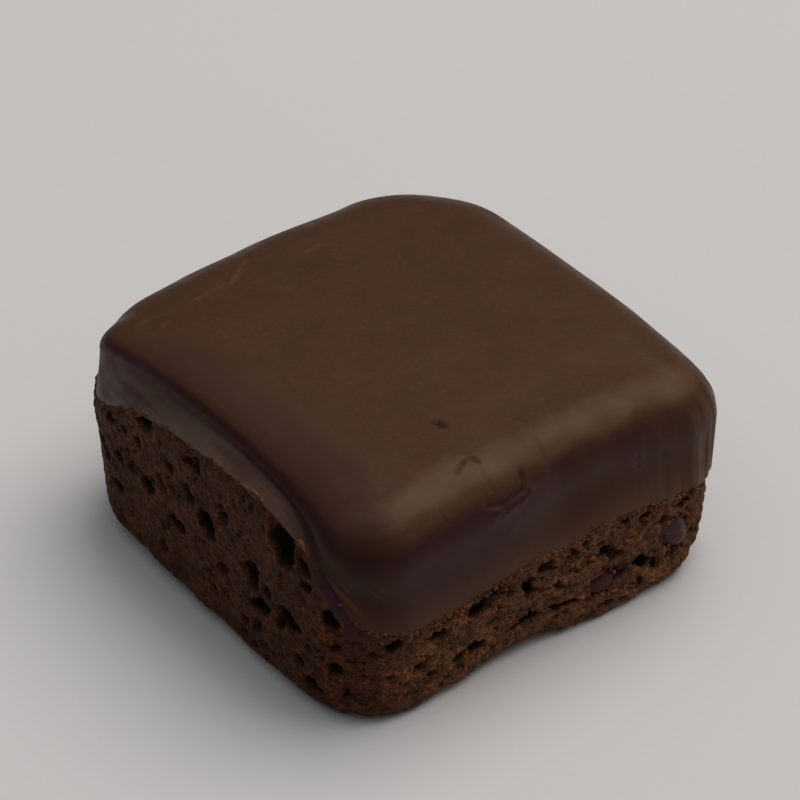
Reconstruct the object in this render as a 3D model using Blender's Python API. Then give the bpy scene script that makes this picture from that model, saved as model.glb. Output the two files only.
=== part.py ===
"""A square of iced brownie: porous sponge, a thick chocolate layer over it and two chocolate chips.

The coated side faces -Y and the cut side faces -X. Sizes are in millimetres and are
turned to metres where the bodies are made. A place round the edge is a direction in
degrees, seen from above, anticlockwise from +X.
"""
import math

import bmesh
import bpy
import numpy as np
from mathutils import Matrix, Vector

MM = 0.001
SEED = 41

# Plan of the square
HALF_X = 29.9
HALF_Y = 30.5
CORNER_BACK = 16.5
CORNER_LEFT = 13.0
CORNER_FRONT = 9.5
CORNER_RIGHT = 9.5

# Height of the top at its edge and how much its middle rises above that
TOP = 28.6
CROWN = 0.7

# Corners of the top that sag: middle of the sag in x and y, its depth and its spread
SAGS = (
    (-27.0, 27.5, 2.0, 9.0),
    (28.0, -28.0, 2.2, 8.5),
    (-27.0, -27.5, 1.3, 9.0),
    (24.0, 24.0, 0.4, 10.0),
)

# Gap left between bodies that touch
GAP = 0.3

# Thickness of the chocolate layer in the middle of the top
LAYER = 2.6

# Rounding of the chocolate layer's lower edge
LIP_ROUND = 0.5

# Roughness of the sponge's walls
CRAG = 0.22

# Steps of the bodies
COLUMNS = 96
PLATEAU_STEPS = 4
SHOULDER_STEPS = 4
DRAPE_STEPS = 4
BASE_STEPS = 2
WALL_STEPS = 6

# Small pores that fill the walls between the named ones
SMALL_PORES = 30
SMALL_PORE_WIDTH = (1.1, 2.0)
SMALL_PORE_SPACING = 0.5
SMALL_PORE_MARGIN = 1.4

# Depth of a small pore below the wall, as a part of its width
PORE_DEPTH = 0.75

# Unevenness of pores and chips, as a part of their size
PORE_JITTER = 0.16
CHIP_JITTER = 0.05

# Edges that turn more than this stay sharp, in degrees
SHARP_ANGLE = 45


def toward(x, y):
    """Direction of a place seen from the middle of the square."""
    return math.degrees(math.atan2(y, x)) % 360


def coated(x):
    """Direction of a place on the coated side."""
    return toward(x, -HALF_Y)


def cut(y):
    """Direction of a place on the cut side."""
    return toward(-HALF_X, y)


def right(y):
    """Direction of a place on the side that faces +X."""
    return toward(HALF_X, y)


def back(x):
    """Direction of a place on the side that faces +Y."""
    return toward(x, HALF_Y)


# Section of the chocolate layer at places round the edge: reach and drop of its rounded
# shoulder, inset of the drape under the shoulder, hollow of the drape, height of the lower
# edge, inset of the lower edge and thickness of the drape
LAYER_SECTIONS = (
    (right(0.0), 8.0, 7.0, 0.4, 0.3, 12.6, 0.0, 1.4),
    (right(18.0), 8.5, 7.0, 0.7, 0.3, 13.6, 0.1, 1.4),
    (toward(30.0, 30.0), 9.0, 7.5, 0.8, 0.2, 12.8, 0.2, 1.4),
    (back(14.0), 8.5, 7.0, 0.6, 0.3, 13.8, 0.1, 1.4),
    (back(0.0), 8.0, 7.0, 0.5, 0.3, 12.9, 0.0, 1.4),
    (back(-16.0), 8.0, 6.0, 1.2, 0.3, 14.4, 0.5, 1.3),
    (toward(-23.5, 29.0), 7.0, 5.0, 1.5, 0.0, 17.5, 1.0, 1.2),
    (toward(-27.5, 25.5), 4.2, 3.2, 1.3, 0.0, 20.6, 0.6, 1.0),
    (cut(20.0), 2.6, 2.4, 2.6, 0.0, 22.6, 0.5, 0.9),
    (cut(10.0), 2.4, 2.2, 3.0, 0.0, 24.1, 0.4, 0.9),
    (cut(0.0), 2.4, 2.2, 3.0, 0.0, 25.3, 0.4, 0.9),
    (cut(-9.0), 2.6, 2.6, 3.0, 0.0, 25.6, 0.4, 0.9),
    (cut(-17.0), 3.4, 3.6, 2.6, 0.0, 23.7, 0.5, 1.0),
    (cut(-24.0), 5.0, 4.6, 1.4, 0.0, 21.0, 0.5, 1.1),
    (toward(-27.0, -27.8), 6.4, 5.4, 0.9, 0.3, 14.6, 0.4, 1.3),
    (coated(-19.0), 7.0, 3.4, 0.0, 0.4, 12.2, 0.1, 1.4),
    (coated(-10.0), 7.2, 3.6, 0.0, 0.5, 13.1, 0.0, 1.4),
    (coated(-3.0), 6.0, 3.4, 0.9, 0.5, 14.2, 0.1, 1.4),
    (coated(2.5), 5.4, 3.2, 1.8, 0.5, 13.9, 0.1, 1.4),
    (coated(9.5), 5.6, 3.2, 1.6, 0.6, 14.9, 0.1, 1.4),
    (coated(19.0), 6.6, 4.2, 1.0, 0.4, 13.3, 0.0, 1.4),
    (toward(28.0, -28.0), 8.4, 5.6, -0.2, 0.0, 12.6, 0.0, 1.4),
    (right(-23.5), 8.8, 6.4, 0.2, 0.1, 13.0, 0.0, 1.4),
    (right(-13.0), 8.4, 6.8, 0.2, 0.3, 13.4, 0.0, 1.4),
)

# Section of the sponge at places round the edge: inset of the wall's head, reach and rise
# of the rounded foot, and how far the wall leans in from head to foot
SPONGE_SECTIONS = (
    (right(0.0), 0.8, 2.5, 2.8, 0.0),
    (toward(30.0, 30.0), 0.9, 3.0, 3.0, 0.0),
    (back(0.0), 0.8, 2.5, 2.8, 0.0),
    (toward(-26.5, 27.0), 0.0, 3.4, 6.0, 1.4),
    (cut(14.0), 0.0, 3.0, 4.0, 0.4),
    (cut(-6.0), 0.0, 2.4, 3.0, 0.0),
    (cut(-20.0), 0.0, 2.4, 3.0, 0.0),
    (toward(-27.0, -27.8), 0.2, 2.2, 2.2, 0.0),
    (coated(-16.0), 0.4, 1.2, 1.4, 0.0),
    (coated(-10.0), 0.8, 2.4, 2.4, 0.0),
    (coated(-3.0), 1.0, 3.6, 3.2, 0.0),
    (coated(3.0), 0.5, 1.7, 1.9, 0.0),
    (coated(12.0), 0.4, 0.9, 1.1, 0.0),
    (coated(18.0), 0.4, 1.6, 2.0, 0.0),
    (toward(28.0, -28.0), 0.8, 4.2, 5.6, 0.4),
)

# Main pores: place, height of the middle, width, height, depth below the wall, tilt
MAIN_PORES = (
    (cut(-17.2), 21.4, 3.4, 4.4, 2.6, 12),
    (cut(-21.2), 21.0, 2.4, 1.3, 1.4, -35),
    (cut(-2.0), 15.3, 2.0, 3.0, 1.8, 50),
    (cut(10.2), 13.3, 2.0, 1.7, 1.5, 0),
    (cut(11.0), 22.4, 1.9, 1.3, 1.2, 0),
    (cut(-11.0), 13.4, 1.3, 3.2, 1.6, 15),
    (cut(-12.4), 9.6, 3.0, 1.3, 1.5, 20),
    (cut(-17.8), 11.3, 2.3, 2.3, 2.0, 0),
    (toward(-28.9, -25.0), 15.3, 1.7, 2.1, 1.5, 20),
    (cut(0.1), 22.8, 1.5, 1.7, 1.1, 0),
    (cut(1.6), 17.4, 1.2, 2.2, 1.2, 50),
    (cut(4.4), 11.1, 2.4, 1.4, 1.3, 0),
    (cut(-4.8), 10.4, 1.6, 1.4, 1.2, 0),
    (cut(16.8), 9.2, 1.7, 1.4, 1.2, 0),
    (cut(18.0), 19.0, 1.3, 1.3, 1.0, 0),
    (toward(-29.5, -22.4), 3.9, 2.4, 1.3, 1.2, -20),
    (coated(-10.4), 11.0, 3.0, 1.7, 2.2, 22),
    (coated(-7.8), 12.3, 1.5, 1.3, 1.6, 20),
    (coated(-2.8), 10.0, 1.5, 2.3, 1.6, 0),
    (toward(-23.2, -29.8), 11.3, 2.2, 1.1, 1.2, 25),
    (coated(-3.6), 5.1, 4.6, 1.0, 1.3, 3),
    (coated(2.4), 5.0, 3.6, 0.9, 1.1, -6),
    (coated(-11.0), 5.0, 2.2, 1.3, 1.5, 0),
    (coated(-13.6), 5.0, 1.4, 1.6, 1.5, 0),
    (coated(-0.4), 12.1, 2.0, 0.8, 1.2, 15),
    (coated(14.3), 12.9, 1.8, 1.0, 1.4, 0),
    (coated(14.2), 5.9, 2.6, 1.3, 1.5, -10),
    (coated(8.6), 10.1, 2.4, 1.1, 1.2, -20),
    (coated(-17.2), 10.2, 1.9, 0.9, 1.2, 10),
    (coated(20.6), 12.0, 1.6, 0.8, 1.2, 20),
)

# Chocolate chips in the coated side: name, place, height, width, height, depth, how far
# the chip's middle lies behind the wall, tilt
CHIPS = (
    ("chip_corner", coated(19.7), 7.9, 4.0, 4.8, 3.4, 1.2, -12),
    ("chip_low", coated(8.2), 5.4, 4.6, 3.4, 3.2, 1.1, 8),
)


def corner_radius(phi):
    """Radius of the corner that a direction points to."""
    ahead = np.cos(phi) > 0
    leftward = np.sin(phi) > 0
    far = np.where(ahead, CORNER_BACK, CORNER_LEFT)
    near = np.where(ahead, CORNER_RIGHT, CORNER_FRONT)
    return np.where(leftward, far, near)


def plan_radius(phi):
    """Distance from the middle to the rounded square's outline."""
    c = np.abs(np.cos(phi))
    s = np.abs(np.sin(phi))
    r = corner_radius(phi)
    mid_x = HALF_X - r
    mid_y = HALF_Y - r
    to_x = HALF_X / np.maximum(c, 1e-9)
    to_y = HALF_Y / np.maximum(s, 1e-9)
    along = mid_x * c + mid_y * s
    to_arc = along + np.sqrt(np.maximum(along ** 2 - mid_x ** 2 - mid_y ** 2 + r ** 2, 0))
    return np.where(to_x * s <= mid_y, to_x, np.where(to_y * c <= mid_x, to_y, to_arc))


def plan_point(phi):
    """Points of the outline in the directions phi."""
    r = plan_radius(phi)
    return np.column_stack([r * np.cos(phi), r * np.sin(phi)])


def plan_normal(phi):
    """Outward normals of the outline in the directions phi."""
    small = 0.002
    ahead = plan_point(phi + small) - plan_point(phi - small)
    ahead /= np.hypot(ahead[:, 0], ahead[:, 1])[:, None]
    return np.column_stack([ahead[:, 1], -ahead[:, 0]])


def even_columns(count):
    """Directions whose points lie evenly along the outline."""
    fine = np.linspace(0, 2 * np.pi, 7201)
    step = np.hypot(*np.diff(plan_point(fine), axis=0).T)
    along = np.concatenate([[0], np.cumsum(step)])
    return np.interp(np.arange(count) / count * along[-1], along, fine)


def sizes_at(sections, phi):
    """Sizes of a table of sections in the directions phi, joined by smooth curves."""
    rows = np.array(sorted(sections))
    turn = 2 * np.pi
    place = np.radians(rows[:, 0])
    k = np.concatenate([place[-2:] - turn, place, place[:2] + turn])
    v = np.concatenate([rows[-2:, 1:], rows[:, 1:], rows[:2, 1:]])
    grade = np.diff(v, axis=0) / np.diff(k)[:, None]
    before = grade[:-1]
    after = grade[1:]
    slope = (v[2:] - v[:-2]) / (k[2:] - k[:-2])[:, None]
    limit = 2.5 * np.minimum(np.abs(before), np.abs(after))
    slope = np.where(before * after > 0, np.clip(slope, -limit, limit), 0)
    p = np.mod(phi, turn)
    i = np.clip(np.searchsorted(k, p, side="right") - 1, 1, len(k) - 3)
    h = (k[i + 1] - k[i])[:, None]
    t = (p - k[i])[:, None] / h
    rise = t * t * (3 - 2 * t)
    start = t * (1 - t) ** 2 * h * slope[i - 1]
    finish = t * t * (t - 1) * h * slope[i]
    return v[i] * (1 - rise) + v[i + 1] * rise + start + finish


def top_height(points):
    """Height of the top over points of the plan."""
    across = 1 - (points[:, 0] / HALF_X) ** 2
    along = 1 - (points[:, 1] / HALF_Y) ** 2
    height = TOP + CROWN * across * along
    for x, y, depth, spread in SAGS:
        away = np.hypot(points[:, 0] - x, points[:, 1] - y)
        height -= depth * np.exp(-(away / spread) ** 2)
    return height


def ring(plan, z):
    """Points over a plan at the height z."""
    return np.column_stack([plan, np.broadcast_to(z, len(plan))])


def inset(edge, amount):
    """Points of the outline moved inward."""
    points, normals = edge
    return points - normals * np.broadcast_to(amount, len(points))[:, None]


def layer_stations(phi, edge):
    """Rings of the chocolate layer's outer face from the top down to its lower edge.

    Each ring comes with the angle in which the layer's thickness is measured, 0 for
    downward and a quarter turn for inward, and with that thickness.
    """
    reach, drop, stand, hollow, lip, flare, thick = sizes_at(LAYER_SECTIONS, phi).T
    rim = inset(edge, stand + reach)
    stations = []
    for k in range(1, PLATEAU_STEPS + 1):
        f = (k / PLATEAU_STEPS) ** 0.7
        top = rim * f
        stations.append((ring(top, top_height(top)), 0.0, thick + (LAYER - thick) * (1 - f ** 3)))
    start = stations[-1][0][:, 2]
    for k in range(1, SHOULDER_STEPS + 1):
        a = math.pi / 2 * k / SHOULDER_STEPS
        plan = inset(edge, stand + reach * (1 - math.sin(a)))
        stations.append((ring(plan, start - drop * (1 - math.cos(a))), a, thick))
    head = start - drop
    foot = lip + LIP_ROUND
    for k in range(1, DRAPE_STEPS + 1):
        f = k / DRAPE_STEPS
        ease = f * f * (3 - 2 * f)
        plan = inset(edge, stand + (flare - stand) * ease + hollow * math.sin(math.pi * f))
        stations.append((ring(plan, head + (foot - head) * f), math.pi / 2, thick))
    return stations


def inward(stations, edge, extra):
    """Rings under the chocolate layer's outer face, from its lower edge up to the top."""
    normals = edge[1]
    rings = []
    for points, angle, thick in reversed(stations):
        depth = (thick + extra)[:, None]
        across = normals * math.sin(angle)
        down = np.full(len(points), math.cos(angle))
        rings.append(points - np.column_stack([across, down]) * depth)
    return rings


def layer_rings(phi, edge):
    """All rings of the chocolate layer, outer face first."""
    lip, flare, thick = sizes_at(LAYER_SECTIONS, phi)[:, 4:].T
    stations = layer_stations(phi, edge)
    rings = [points for points, angle, depth in stations]
    rings.append(ring(inset(edge, flare + 0.3 * LIP_ROUND), lip + 0.3 * LIP_ROUND))
    rings.append(ring(inset(edge, flare + LIP_ROUND), lip))
    rings.append(ring(inset(edge, flare + thick), lip))
    return rings + inward(stations, edge, 0.0)


def wall_inset(phi, z):
    """Inset of the sponge's wall at the height z."""
    head, reach, rise, lean = sizes_at(SPONGE_SECTIONS, phi).T
    lip = sizes_at(LAYER_SECTIONS, phi)[:, 4]
    up = np.clip((z - rise) / (lip - GAP - rise), 0, 1)
    bend = np.clip(1 - z / rise, 0, 1)
    return head + lean * (1 - up) + reach * (1 - np.sqrt(1 - bend ** 2))


def sponge_rings(phi, edge, crag):
    """All rings of the sponge from its underside up over its wall and its top."""
    head, reach, rise, lean = sizes_at(SPONGE_SECTIONS, phi).T
    lip, flare, thick = sizes_at(LAYER_SECTIONS, phi)[:, 4:].T
    ledge = lip - GAP
    sole = inset(edge, head + lean + reach)
    rings = [ring(sole * 0.55, 0.0), ring(sole, 0.0)]
    levels = []
    for k in range(1, BASE_STEPS + 1):
        levels.append(rise * (1 - math.cos(math.pi / 2 * k / BASE_STEPS)))
    for k in range(1, WALL_STEPS + 1):
        levels.append(rise + (ledge - rise) * k / WALL_STEPS)
    for rough, z in zip(crag, levels):
        rings.append(ring(inset(edge, wall_inset(phi, z) + rough), z))
    rings.append(ring(inset(edge, flare + thick + GAP), ledge))
    return rings + inward(layer_stations(phi, edge), edge, GAP)


def loft(rings):
    """A closed body through rings in millimetres, its ends closed by a fan of triangles."""
    work = bmesh.new()
    loops = [[work.verts.new(Vector(point) * MM) for point in points] for points in rings]
    for lower, upper in zip(loops, loops[1:]):
        for k, corner in enumerate(lower):
            work.faces.new((lower[k - 1], corner, upper[k], upper[k - 1]))
    ends = [work.faces.new(loops[0]), work.faces.new(loops[-1])]
    bmesh.ops.poke(work, faces=ends)
    bmesh.ops.triangulate(work, faces=work.faces)
    return work


def lump(half_sizes, detail, jitter, rng):
    """An uneven rounded lump about the origin, its half sizes in millimetres."""
    work = bmesh.new()
    bmesh.ops.create_icosphere(work, subdivisions=detail, radius=1.0)
    for vert in work.verts:
        uneven = 1 + jitter * rng.uniform(-1, 1)
        vert.co = [c * half * uneven * MM for c, half in zip(vert.co, half_sizes)]
    return work


def body(name, work, finish, parent=None, place=None):
    """An object from a finished bmesh, its faces turned outward."""
    bmesh.ops.recalc_face_normals(work, faces=work.faces)
    mesh = bpy.data.meshes.new(name)
    work.to_mesh(mesh)
    work.free()
    mesh.materials.append(finish)
    thing = bpy.data.objects.new(name, mesh)
    thing.parent = parent
    if place is not None:
        thing.matrix_local = place
    bpy.context.scene.collection.objects.link(thing)
    return thing


def material(name, colour, roughness):
    """A plain material with one colour and one roughness."""
    made = bpy.data.materials.new(name)
    made.use_nodes = True
    shader = made.node_tree.nodes["Principled BSDF"]
    shader.inputs["Base Color"].default_value = (*colour, 1.0)
    shader.inputs["Roughness"].default_value = roughness
    return made


def outline_point(place):
    """Point of the outline at a place, in millimetres."""
    return plan_point(np.array([math.radians(place)]))[0]


def wall_frame(place, z, behind, tilt):
    """Frame on the sponge's wall: X along it, Y outward and Z up, turned by the tilt."""
    phi = np.array([math.radians(place)])
    edge = (plan_point(phi), plan_normal(phi))
    x, y = inset(edge, wall_inset(phi, z) + behind)[0] * MM
    out = Vector((*edge[1][0], 0.0))
    up = Vector((0.0, 0.0, 1.0))
    facing = Matrix((up.cross(out), out, up)).transposed().to_4x4()
    lean = Matrix.Rotation(math.radians(tilt), 4, "Y")
    return Matrix.Translation((x, y, z * MM)) @ facing @ lean


def small_pores(rng, taken):
    """Rows of small pores spread over the walls, clear of the pores already there."""
    rows = []
    while len(rows) < SMALL_PORES:
        place = rng.uniform(0, 360)
        phi = np.array([math.radians(place)])
        low = sizes_at(SPONGE_SECTIONS, phi)[0, 2] + SMALL_PORE_MARGIN
        high = sizes_at(LAYER_SECTIONS, phi)[0, 4] - SMALL_PORE_MARGIN
        z = rng.uniform(low, high)
        width = rng.uniform(*SMALL_PORE_WIDTH)
        point = outline_point(place)
        room = [math.hypot(*(point - other), z - level) - (width + wide) / 2
                for other, level, wide in taken]
        if min(room) > SMALL_PORE_SPACING:
            taken.append((point, z, width))
            height = width * rng.uniform(0.6, 1.0)
            rows.append((place, z, width, height, PORE_DEPTH * width, rng.uniform(-40, 40)))
    return rows


def carve(target, cutters):
    """Cuts a group of bodies out of a target and removes them."""
    group = bpy.data.collections.new("cutters")
    bpy.context.scene.collection.children.link(group)
    for cutter in cutters:
        group.objects.link(cutter)
    cutting = target.modifiers.new("pores", "BOOLEAN")
    cutting.operation = "DIFFERENCE"
    cutting.operand_type = "COLLECTION"
    cutting.collection = group
    bpy.context.view_layer.objects.active = target
    bpy.ops.object.modifier_apply(modifier=cutting.name)
    for cutter in cutters:
        bpy.data.objects.remove(cutter)
    bpy.data.collections.remove(group)


def drop_scraps(thing):
    """Keeps the largest connected body of an object."""
    work = bmesh.new()
    work.from_mesh(thing.data)
    left = set(work.verts)
    groups = []
    while left:
        group = {left.pop()}
        rim = set(group)
        while rim:
            rim = {edge.other_vert(v) for v in rim for edge in v.link_edges} & left
            left -= rim
            group |= rim
        groups.append(group)
    groups.sort(key=len)
    scraps = [v for group in groups[:-1] for v in group]
    bmesh.ops.delete(work, geom=scraps, context="VERTS")
    bmesh.ops.triangulate(work, faces=work.faces)
    work.to_mesh(thing.data)
    work.free()


def shade(thing, angle):
    """Smooth shading, with the edges that turn more than an angle kept sharp."""
    thing.data.shade_smooth()
    thing.data.set_sharp_from_angle(angle=math.radians(angle))


def make_sponge(root, finish, rng):
    """The porous sponge, without its pores."""
    phi = even_columns(COLUMNS)
    edge = (plan_point(phi), plan_normal(phi))
    crag = rng.uniform(-CRAG, CRAG, (BASE_STEPS + WALL_STEPS, COLUMNS))
    return body("sponge", loft(sponge_rings(phi, edge, crag)), finish, root)


def make_icing(root, finish):
    """The thick chocolate layer with its draped sides."""
    phi = even_columns(COLUMNS)
    edge = (plan_point(phi), plan_normal(phi))
    return body("icing", loft(layer_rings(phi, edge)), finish, root)


def make_chips(root, finish, rng):
    """The chocolate chips, and the pockets in which they sit."""
    chips = []
    pockets = []
    for name, place, z, width, height, depth, behind, tilt in CHIPS:
        frame = wall_frame(place, z, behind, tilt)
        half = np.array([width, depth, height]) / 2
        chips.append(body(name, lump(half, 2, CHIP_JITTER, rng), finish, root, frame))
        room = half * (1 + CHIP_JITTER) + GAP
        pockets.append(body(name + "_pocket", lump(room, 2, 0.0, rng), finish, root, frame))
    return chips, pockets


def make_pores(root, finish, rng):
    """Bodies of the shape of the pores: the main ones, and small ones between them."""
    taken = [(outline_point(place), z, width + 2 * GAP) for name, place, z, width, *rest in CHIPS]
    taken += [(outline_point(place), z, width) for place, z, width, *rest in MAIN_PORES]
    rows = [(2, row) for row in MAIN_PORES] + [(1, row) for row in small_pores(rng, taken)]
    pores = []
    for detail, (place, z, width, height, depth, tilt) in rows:
        shape = lump((width / 2, depth, height / 2), detail, PORE_JITTER, rng)
        pores.append(body("pore", shape, finish, root, wall_frame(place, z, 0.0, tilt)))
    return pores


def stand_on_origin(root, things):
    """Moves the whole so that its box stands on the origin."""
    bpy.context.view_layer.update()
    points = np.array([thing.matrix_world @ v.co for thing in things for v in thing.data.vertices])
    low = points.min(axis=0)
    high = points.max(axis=0)
    root.location = (-(low[0] + high[0]) / 2, -(low[1] + high[1]) / 2, -low[2])


def main():
    for old in list(bpy.data.objects):
        bpy.data.objects.remove(old)
    rng = np.random.default_rng(SEED)
    crumb = material("brownie_crumb", (0.045, 0.018, 0.009), 0.9)
    chocolate = material("chocolate_layer", (0.055, 0.026, 0.016), 0.4)
    dark_chocolate = material("chocolate_chip", (0.05, 0.022, 0.017), 0.35)
    root = bpy.data.objects.new("brownie", None)
    bpy.context.scene.collection.objects.link(root)

    sponge = make_sponge(root, crumb, rng)
    icing = make_icing(root, chocolate)
    chips, pockets = make_chips(root, dark_chocolate, rng)
    carve(sponge, pockets + make_pores(root, crumb, rng))
    drop_scraps(sponge)

    things = [sponge, icing] + chips
    stand_on_origin(root, things)
    for thing in things:
        shade(thing, SHARP_ANGLE)


main()
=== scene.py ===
"""Looks of a square of iced brownie: open crumb, set chocolate, chips and loose crumbs.

The form's sizes are in millimetres and repeat the frame's own. A place round the edge is a
direction in degrees, seen from above, anticlockwise from +X. The coated side faces -Y and
the cut side faces -X.
"""
import math

import bmesh
import bpy
import numpy as np
from mathutils import Matrix, Vector


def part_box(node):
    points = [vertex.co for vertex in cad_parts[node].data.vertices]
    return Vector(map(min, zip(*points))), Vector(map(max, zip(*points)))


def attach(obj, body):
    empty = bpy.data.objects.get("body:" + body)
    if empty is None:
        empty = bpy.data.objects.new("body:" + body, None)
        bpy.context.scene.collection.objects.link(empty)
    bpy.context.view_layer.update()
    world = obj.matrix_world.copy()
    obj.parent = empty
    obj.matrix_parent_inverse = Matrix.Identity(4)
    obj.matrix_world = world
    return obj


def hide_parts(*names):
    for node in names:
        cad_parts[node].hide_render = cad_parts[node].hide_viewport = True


bl_info = {
    "name": "Iced Brownie Square",
    "version": (1, 0, 0),
    "blender": (4, 5, 0),
    "location": "3D View > Sidebar > Brownie",
    "description": "Makes the crumb, the chocolate layer, the chips and the stage of a brownie",
    "category": "Object",
}

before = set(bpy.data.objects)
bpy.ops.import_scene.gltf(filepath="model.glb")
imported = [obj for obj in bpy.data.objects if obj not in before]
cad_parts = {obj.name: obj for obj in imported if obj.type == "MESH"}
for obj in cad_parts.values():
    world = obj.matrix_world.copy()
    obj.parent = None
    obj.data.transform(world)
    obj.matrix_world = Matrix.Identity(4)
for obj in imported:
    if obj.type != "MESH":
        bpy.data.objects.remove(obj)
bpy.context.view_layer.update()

MM = 0.001

# Plan and top of the square
HALF_X = 29.9
HALF_Y = 30.5
CORNER_BACK = 16.5
CORNER_LEFT = 13.0
CORNER_FRONT = 9.5
CORNER_RIGHT = 9.5
TOP = 28.6
CROWN = 0.7
LAYER = 2.6
LIP_ROUND = 0.5

# Corners of the top that sag: middle of the sag in x and y, its depth and its spread
SAGS = (
    (-27.0, 27.5, 2.0, 9.0),
    (28.0, -28.0, 2.2, 8.5),
    (-27.0, -27.5, 1.3, 9.0),
    (24.0, 24.0, 0.4, 10.0),
)

# Places where the cut side begins and ends
CUT_BEGINS = 132
CUT_ENDS = 226

# Most triangles of one piece, and how many loose crumbs are tried round the lip and the chips
MOST_TRIANGLES = 190000
CRUMBS_TRIED = 1800
CRUMBS_ROUND_CHIP = 46

# Odd multipliers that scatter whole numbers into chance values of 32 bits
SCATTER = (374761393, 668265263, 1440662683, 974711, 1274126177, -2048144777)
LOW_BITS = 0xFFFFFFFF

# The camera that took in the square: direction and height angle in degrees, distance and
# offsets across and up the view in millimetres, and focal length in pixels of 800
VIEW_AZIMUTH = -37.5
VIEW_ELEVATION = 37.3
VIEW_DISTANCE = 611.0
VIEW_RIGHT = 0.43
VIEW_UP = 3.6
VIEW_HEIGHT = 14.25
VIEW_FOCAL = 5000.0
FRAME_PIXELS = 800
SENSOR = 36.0

# Width of the floor in metres
FLOOR = 2.4


def toward(x, y):
    """Direction of a place seen from the middle of the square."""
    return math.degrees(math.atan2(y, x)) % 360


def coated(x):
    """Direction of a place on the coated side."""
    return toward(x, -HALF_Y)


def cut(y):
    """Direction of a place on the cut side."""
    return toward(-HALF_X, y)


def right(y):
    """Direction of a place on the side that faces +X."""
    return toward(HALF_X, y)


def back(x):
    """Direction of a place on the side that faces +Y."""
    return toward(x, HALF_Y)


# Section of the chocolate layer at places round the edge: reach and drop of its rounded
# shoulder, inset of the drape under the shoulder, hollow of the drape, height of the lower
# edge, inset of the lower edge and thickness of the drape
LAYER_SECTIONS = (
    (right(0.0), 8.0, 7.0, 0.4, 0.3, 12.6, 0.0, 1.4),
    (right(18.0), 8.5, 7.0, 0.7, 0.3, 13.6, 0.1, 1.4),
    (toward(30.0, 30.0), 9.0, 7.5, 0.8, 0.2, 12.8, 0.2, 1.4),
    (back(14.0), 8.5, 7.0, 0.6, 0.3, 13.8, 0.1, 1.4),
    (back(0.0), 8.0, 7.0, 0.5, 0.3, 12.9, 0.0, 1.4),
    (back(-16.0), 8.0, 6.0, 1.2, 0.3, 14.4, 0.5, 1.3),
    (toward(-23.5, 29.0), 8.6, 6.0, 1.2, 0.0, 16.8, 0.3, 1.2),
    (toward(-27.5, 25.5), 5.8, 3.5, 0.9, 0.0, 17.4, 0.3, 1.0),
    (cut(20.0), 4.6, 2.5, 2.6, 0.0, 19.6, 0.5, 0.9),
    (cut(12.0), 4.6, 2.3, 3.1, 0.0, 22.9, 0.4, 0.9),
    (cut(0.0), 4.8, 2.3, 3.4, 0.0, 24.5, 0.4, 0.9),
    (cut(-9.0), 5.2, 2.5, 3.2, 0.0, 24.9, 0.4, 0.9),
    (cut(-17.0), 6.6, 3.4, 2.6, 0.0, 23.7, 0.5, 1.0),
    (cut(-24.0), 8.2, 5.0, 1.1, 0.0, 21.0, 0.5, 1.1),
    (toward(-27.0, -27.8), 8.6, 6.4, 0.5, 0.2, 14.6, 0.4, 1.3),
    (coated(-19.0), 7.4, 5.6, 0.0, 0.2, 12.2, 0.1, 1.4),
    (coated(-10.0), 7.4, 5.8, 0.0, 0.2, 13.1, 0.0, 1.4),
    (coated(-3.0), 6.6, 6.0, 0.5, 0.2, 14.2, 0.1, 1.4),
    (coated(2.5), 6.0, 6.0, 1.2, 0.2, 13.9, 0.1, 1.4),
    (coated(9.5), 6.2, 6.0, 1.0, 0.2, 14.9, 0.1, 1.4),
    (coated(19.0), 7.2, 6.8, 0.6, 0.2, 13.3, 0.0, 1.4),
    (toward(28.0, -28.0), 8.8, 7.4, -0.2, 0.0, 12.6, 0.0, 1.4),
    (right(-23.5), 8.8, 8.0, 0.2, 0.1, 13.0, 0.0, 1.4),
    (right(-13.0), 8.6, 7.4, 0.2, 0.2, 13.4, 0.0, 1.4),
)

# Section of the crumb at places round the edge: inset of the wall's head, reach and rise of
# the rounded foot, and how far the wall leans in from head to foot
CRUMB_SECTIONS = (
    (right(0.0), 0.8, 2.5, 2.8, 0.0),
    (toward(30.0, 30.0), 0.9, 3.0, 3.0, 0.0),
    (back(0.0), 0.8, 2.5, 2.8, 0.0),
    (toward(-26.5, 27.0), 0.0, 3.6, 6.2, 1.0),
    (cut(14.0), 0.0, 3.5, 4.4, 0.4),
    (cut(-6.0), 0.0, 3.0, 3.6, 0.0),
    (cut(-20.0), 0.0, 2.8, 3.4, 0.0),
    (toward(-27.0, -27.8), 0.2, 2.8, 2.8, 0.0),
    (coated(-16.0), 0.4, 2.2, 2.5, 0.0),
    (coated(-10.0), 0.8, 3.1, 3.2, 0.0),
    (coated(-3.0), 1.0, 4.0, 3.9, 0.0),
    (coated(3.0), 0.6, 2.5, 2.8, 0.0),
    (coated(12.0), 0.4, 1.6, 1.9, 0.0),
    (coated(18.0), 0.4, 2.2, 2.7, 0.0),
    (toward(28.0, -28.0), 0.8, 5.0, 6.6, 0.4),
)

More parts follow.
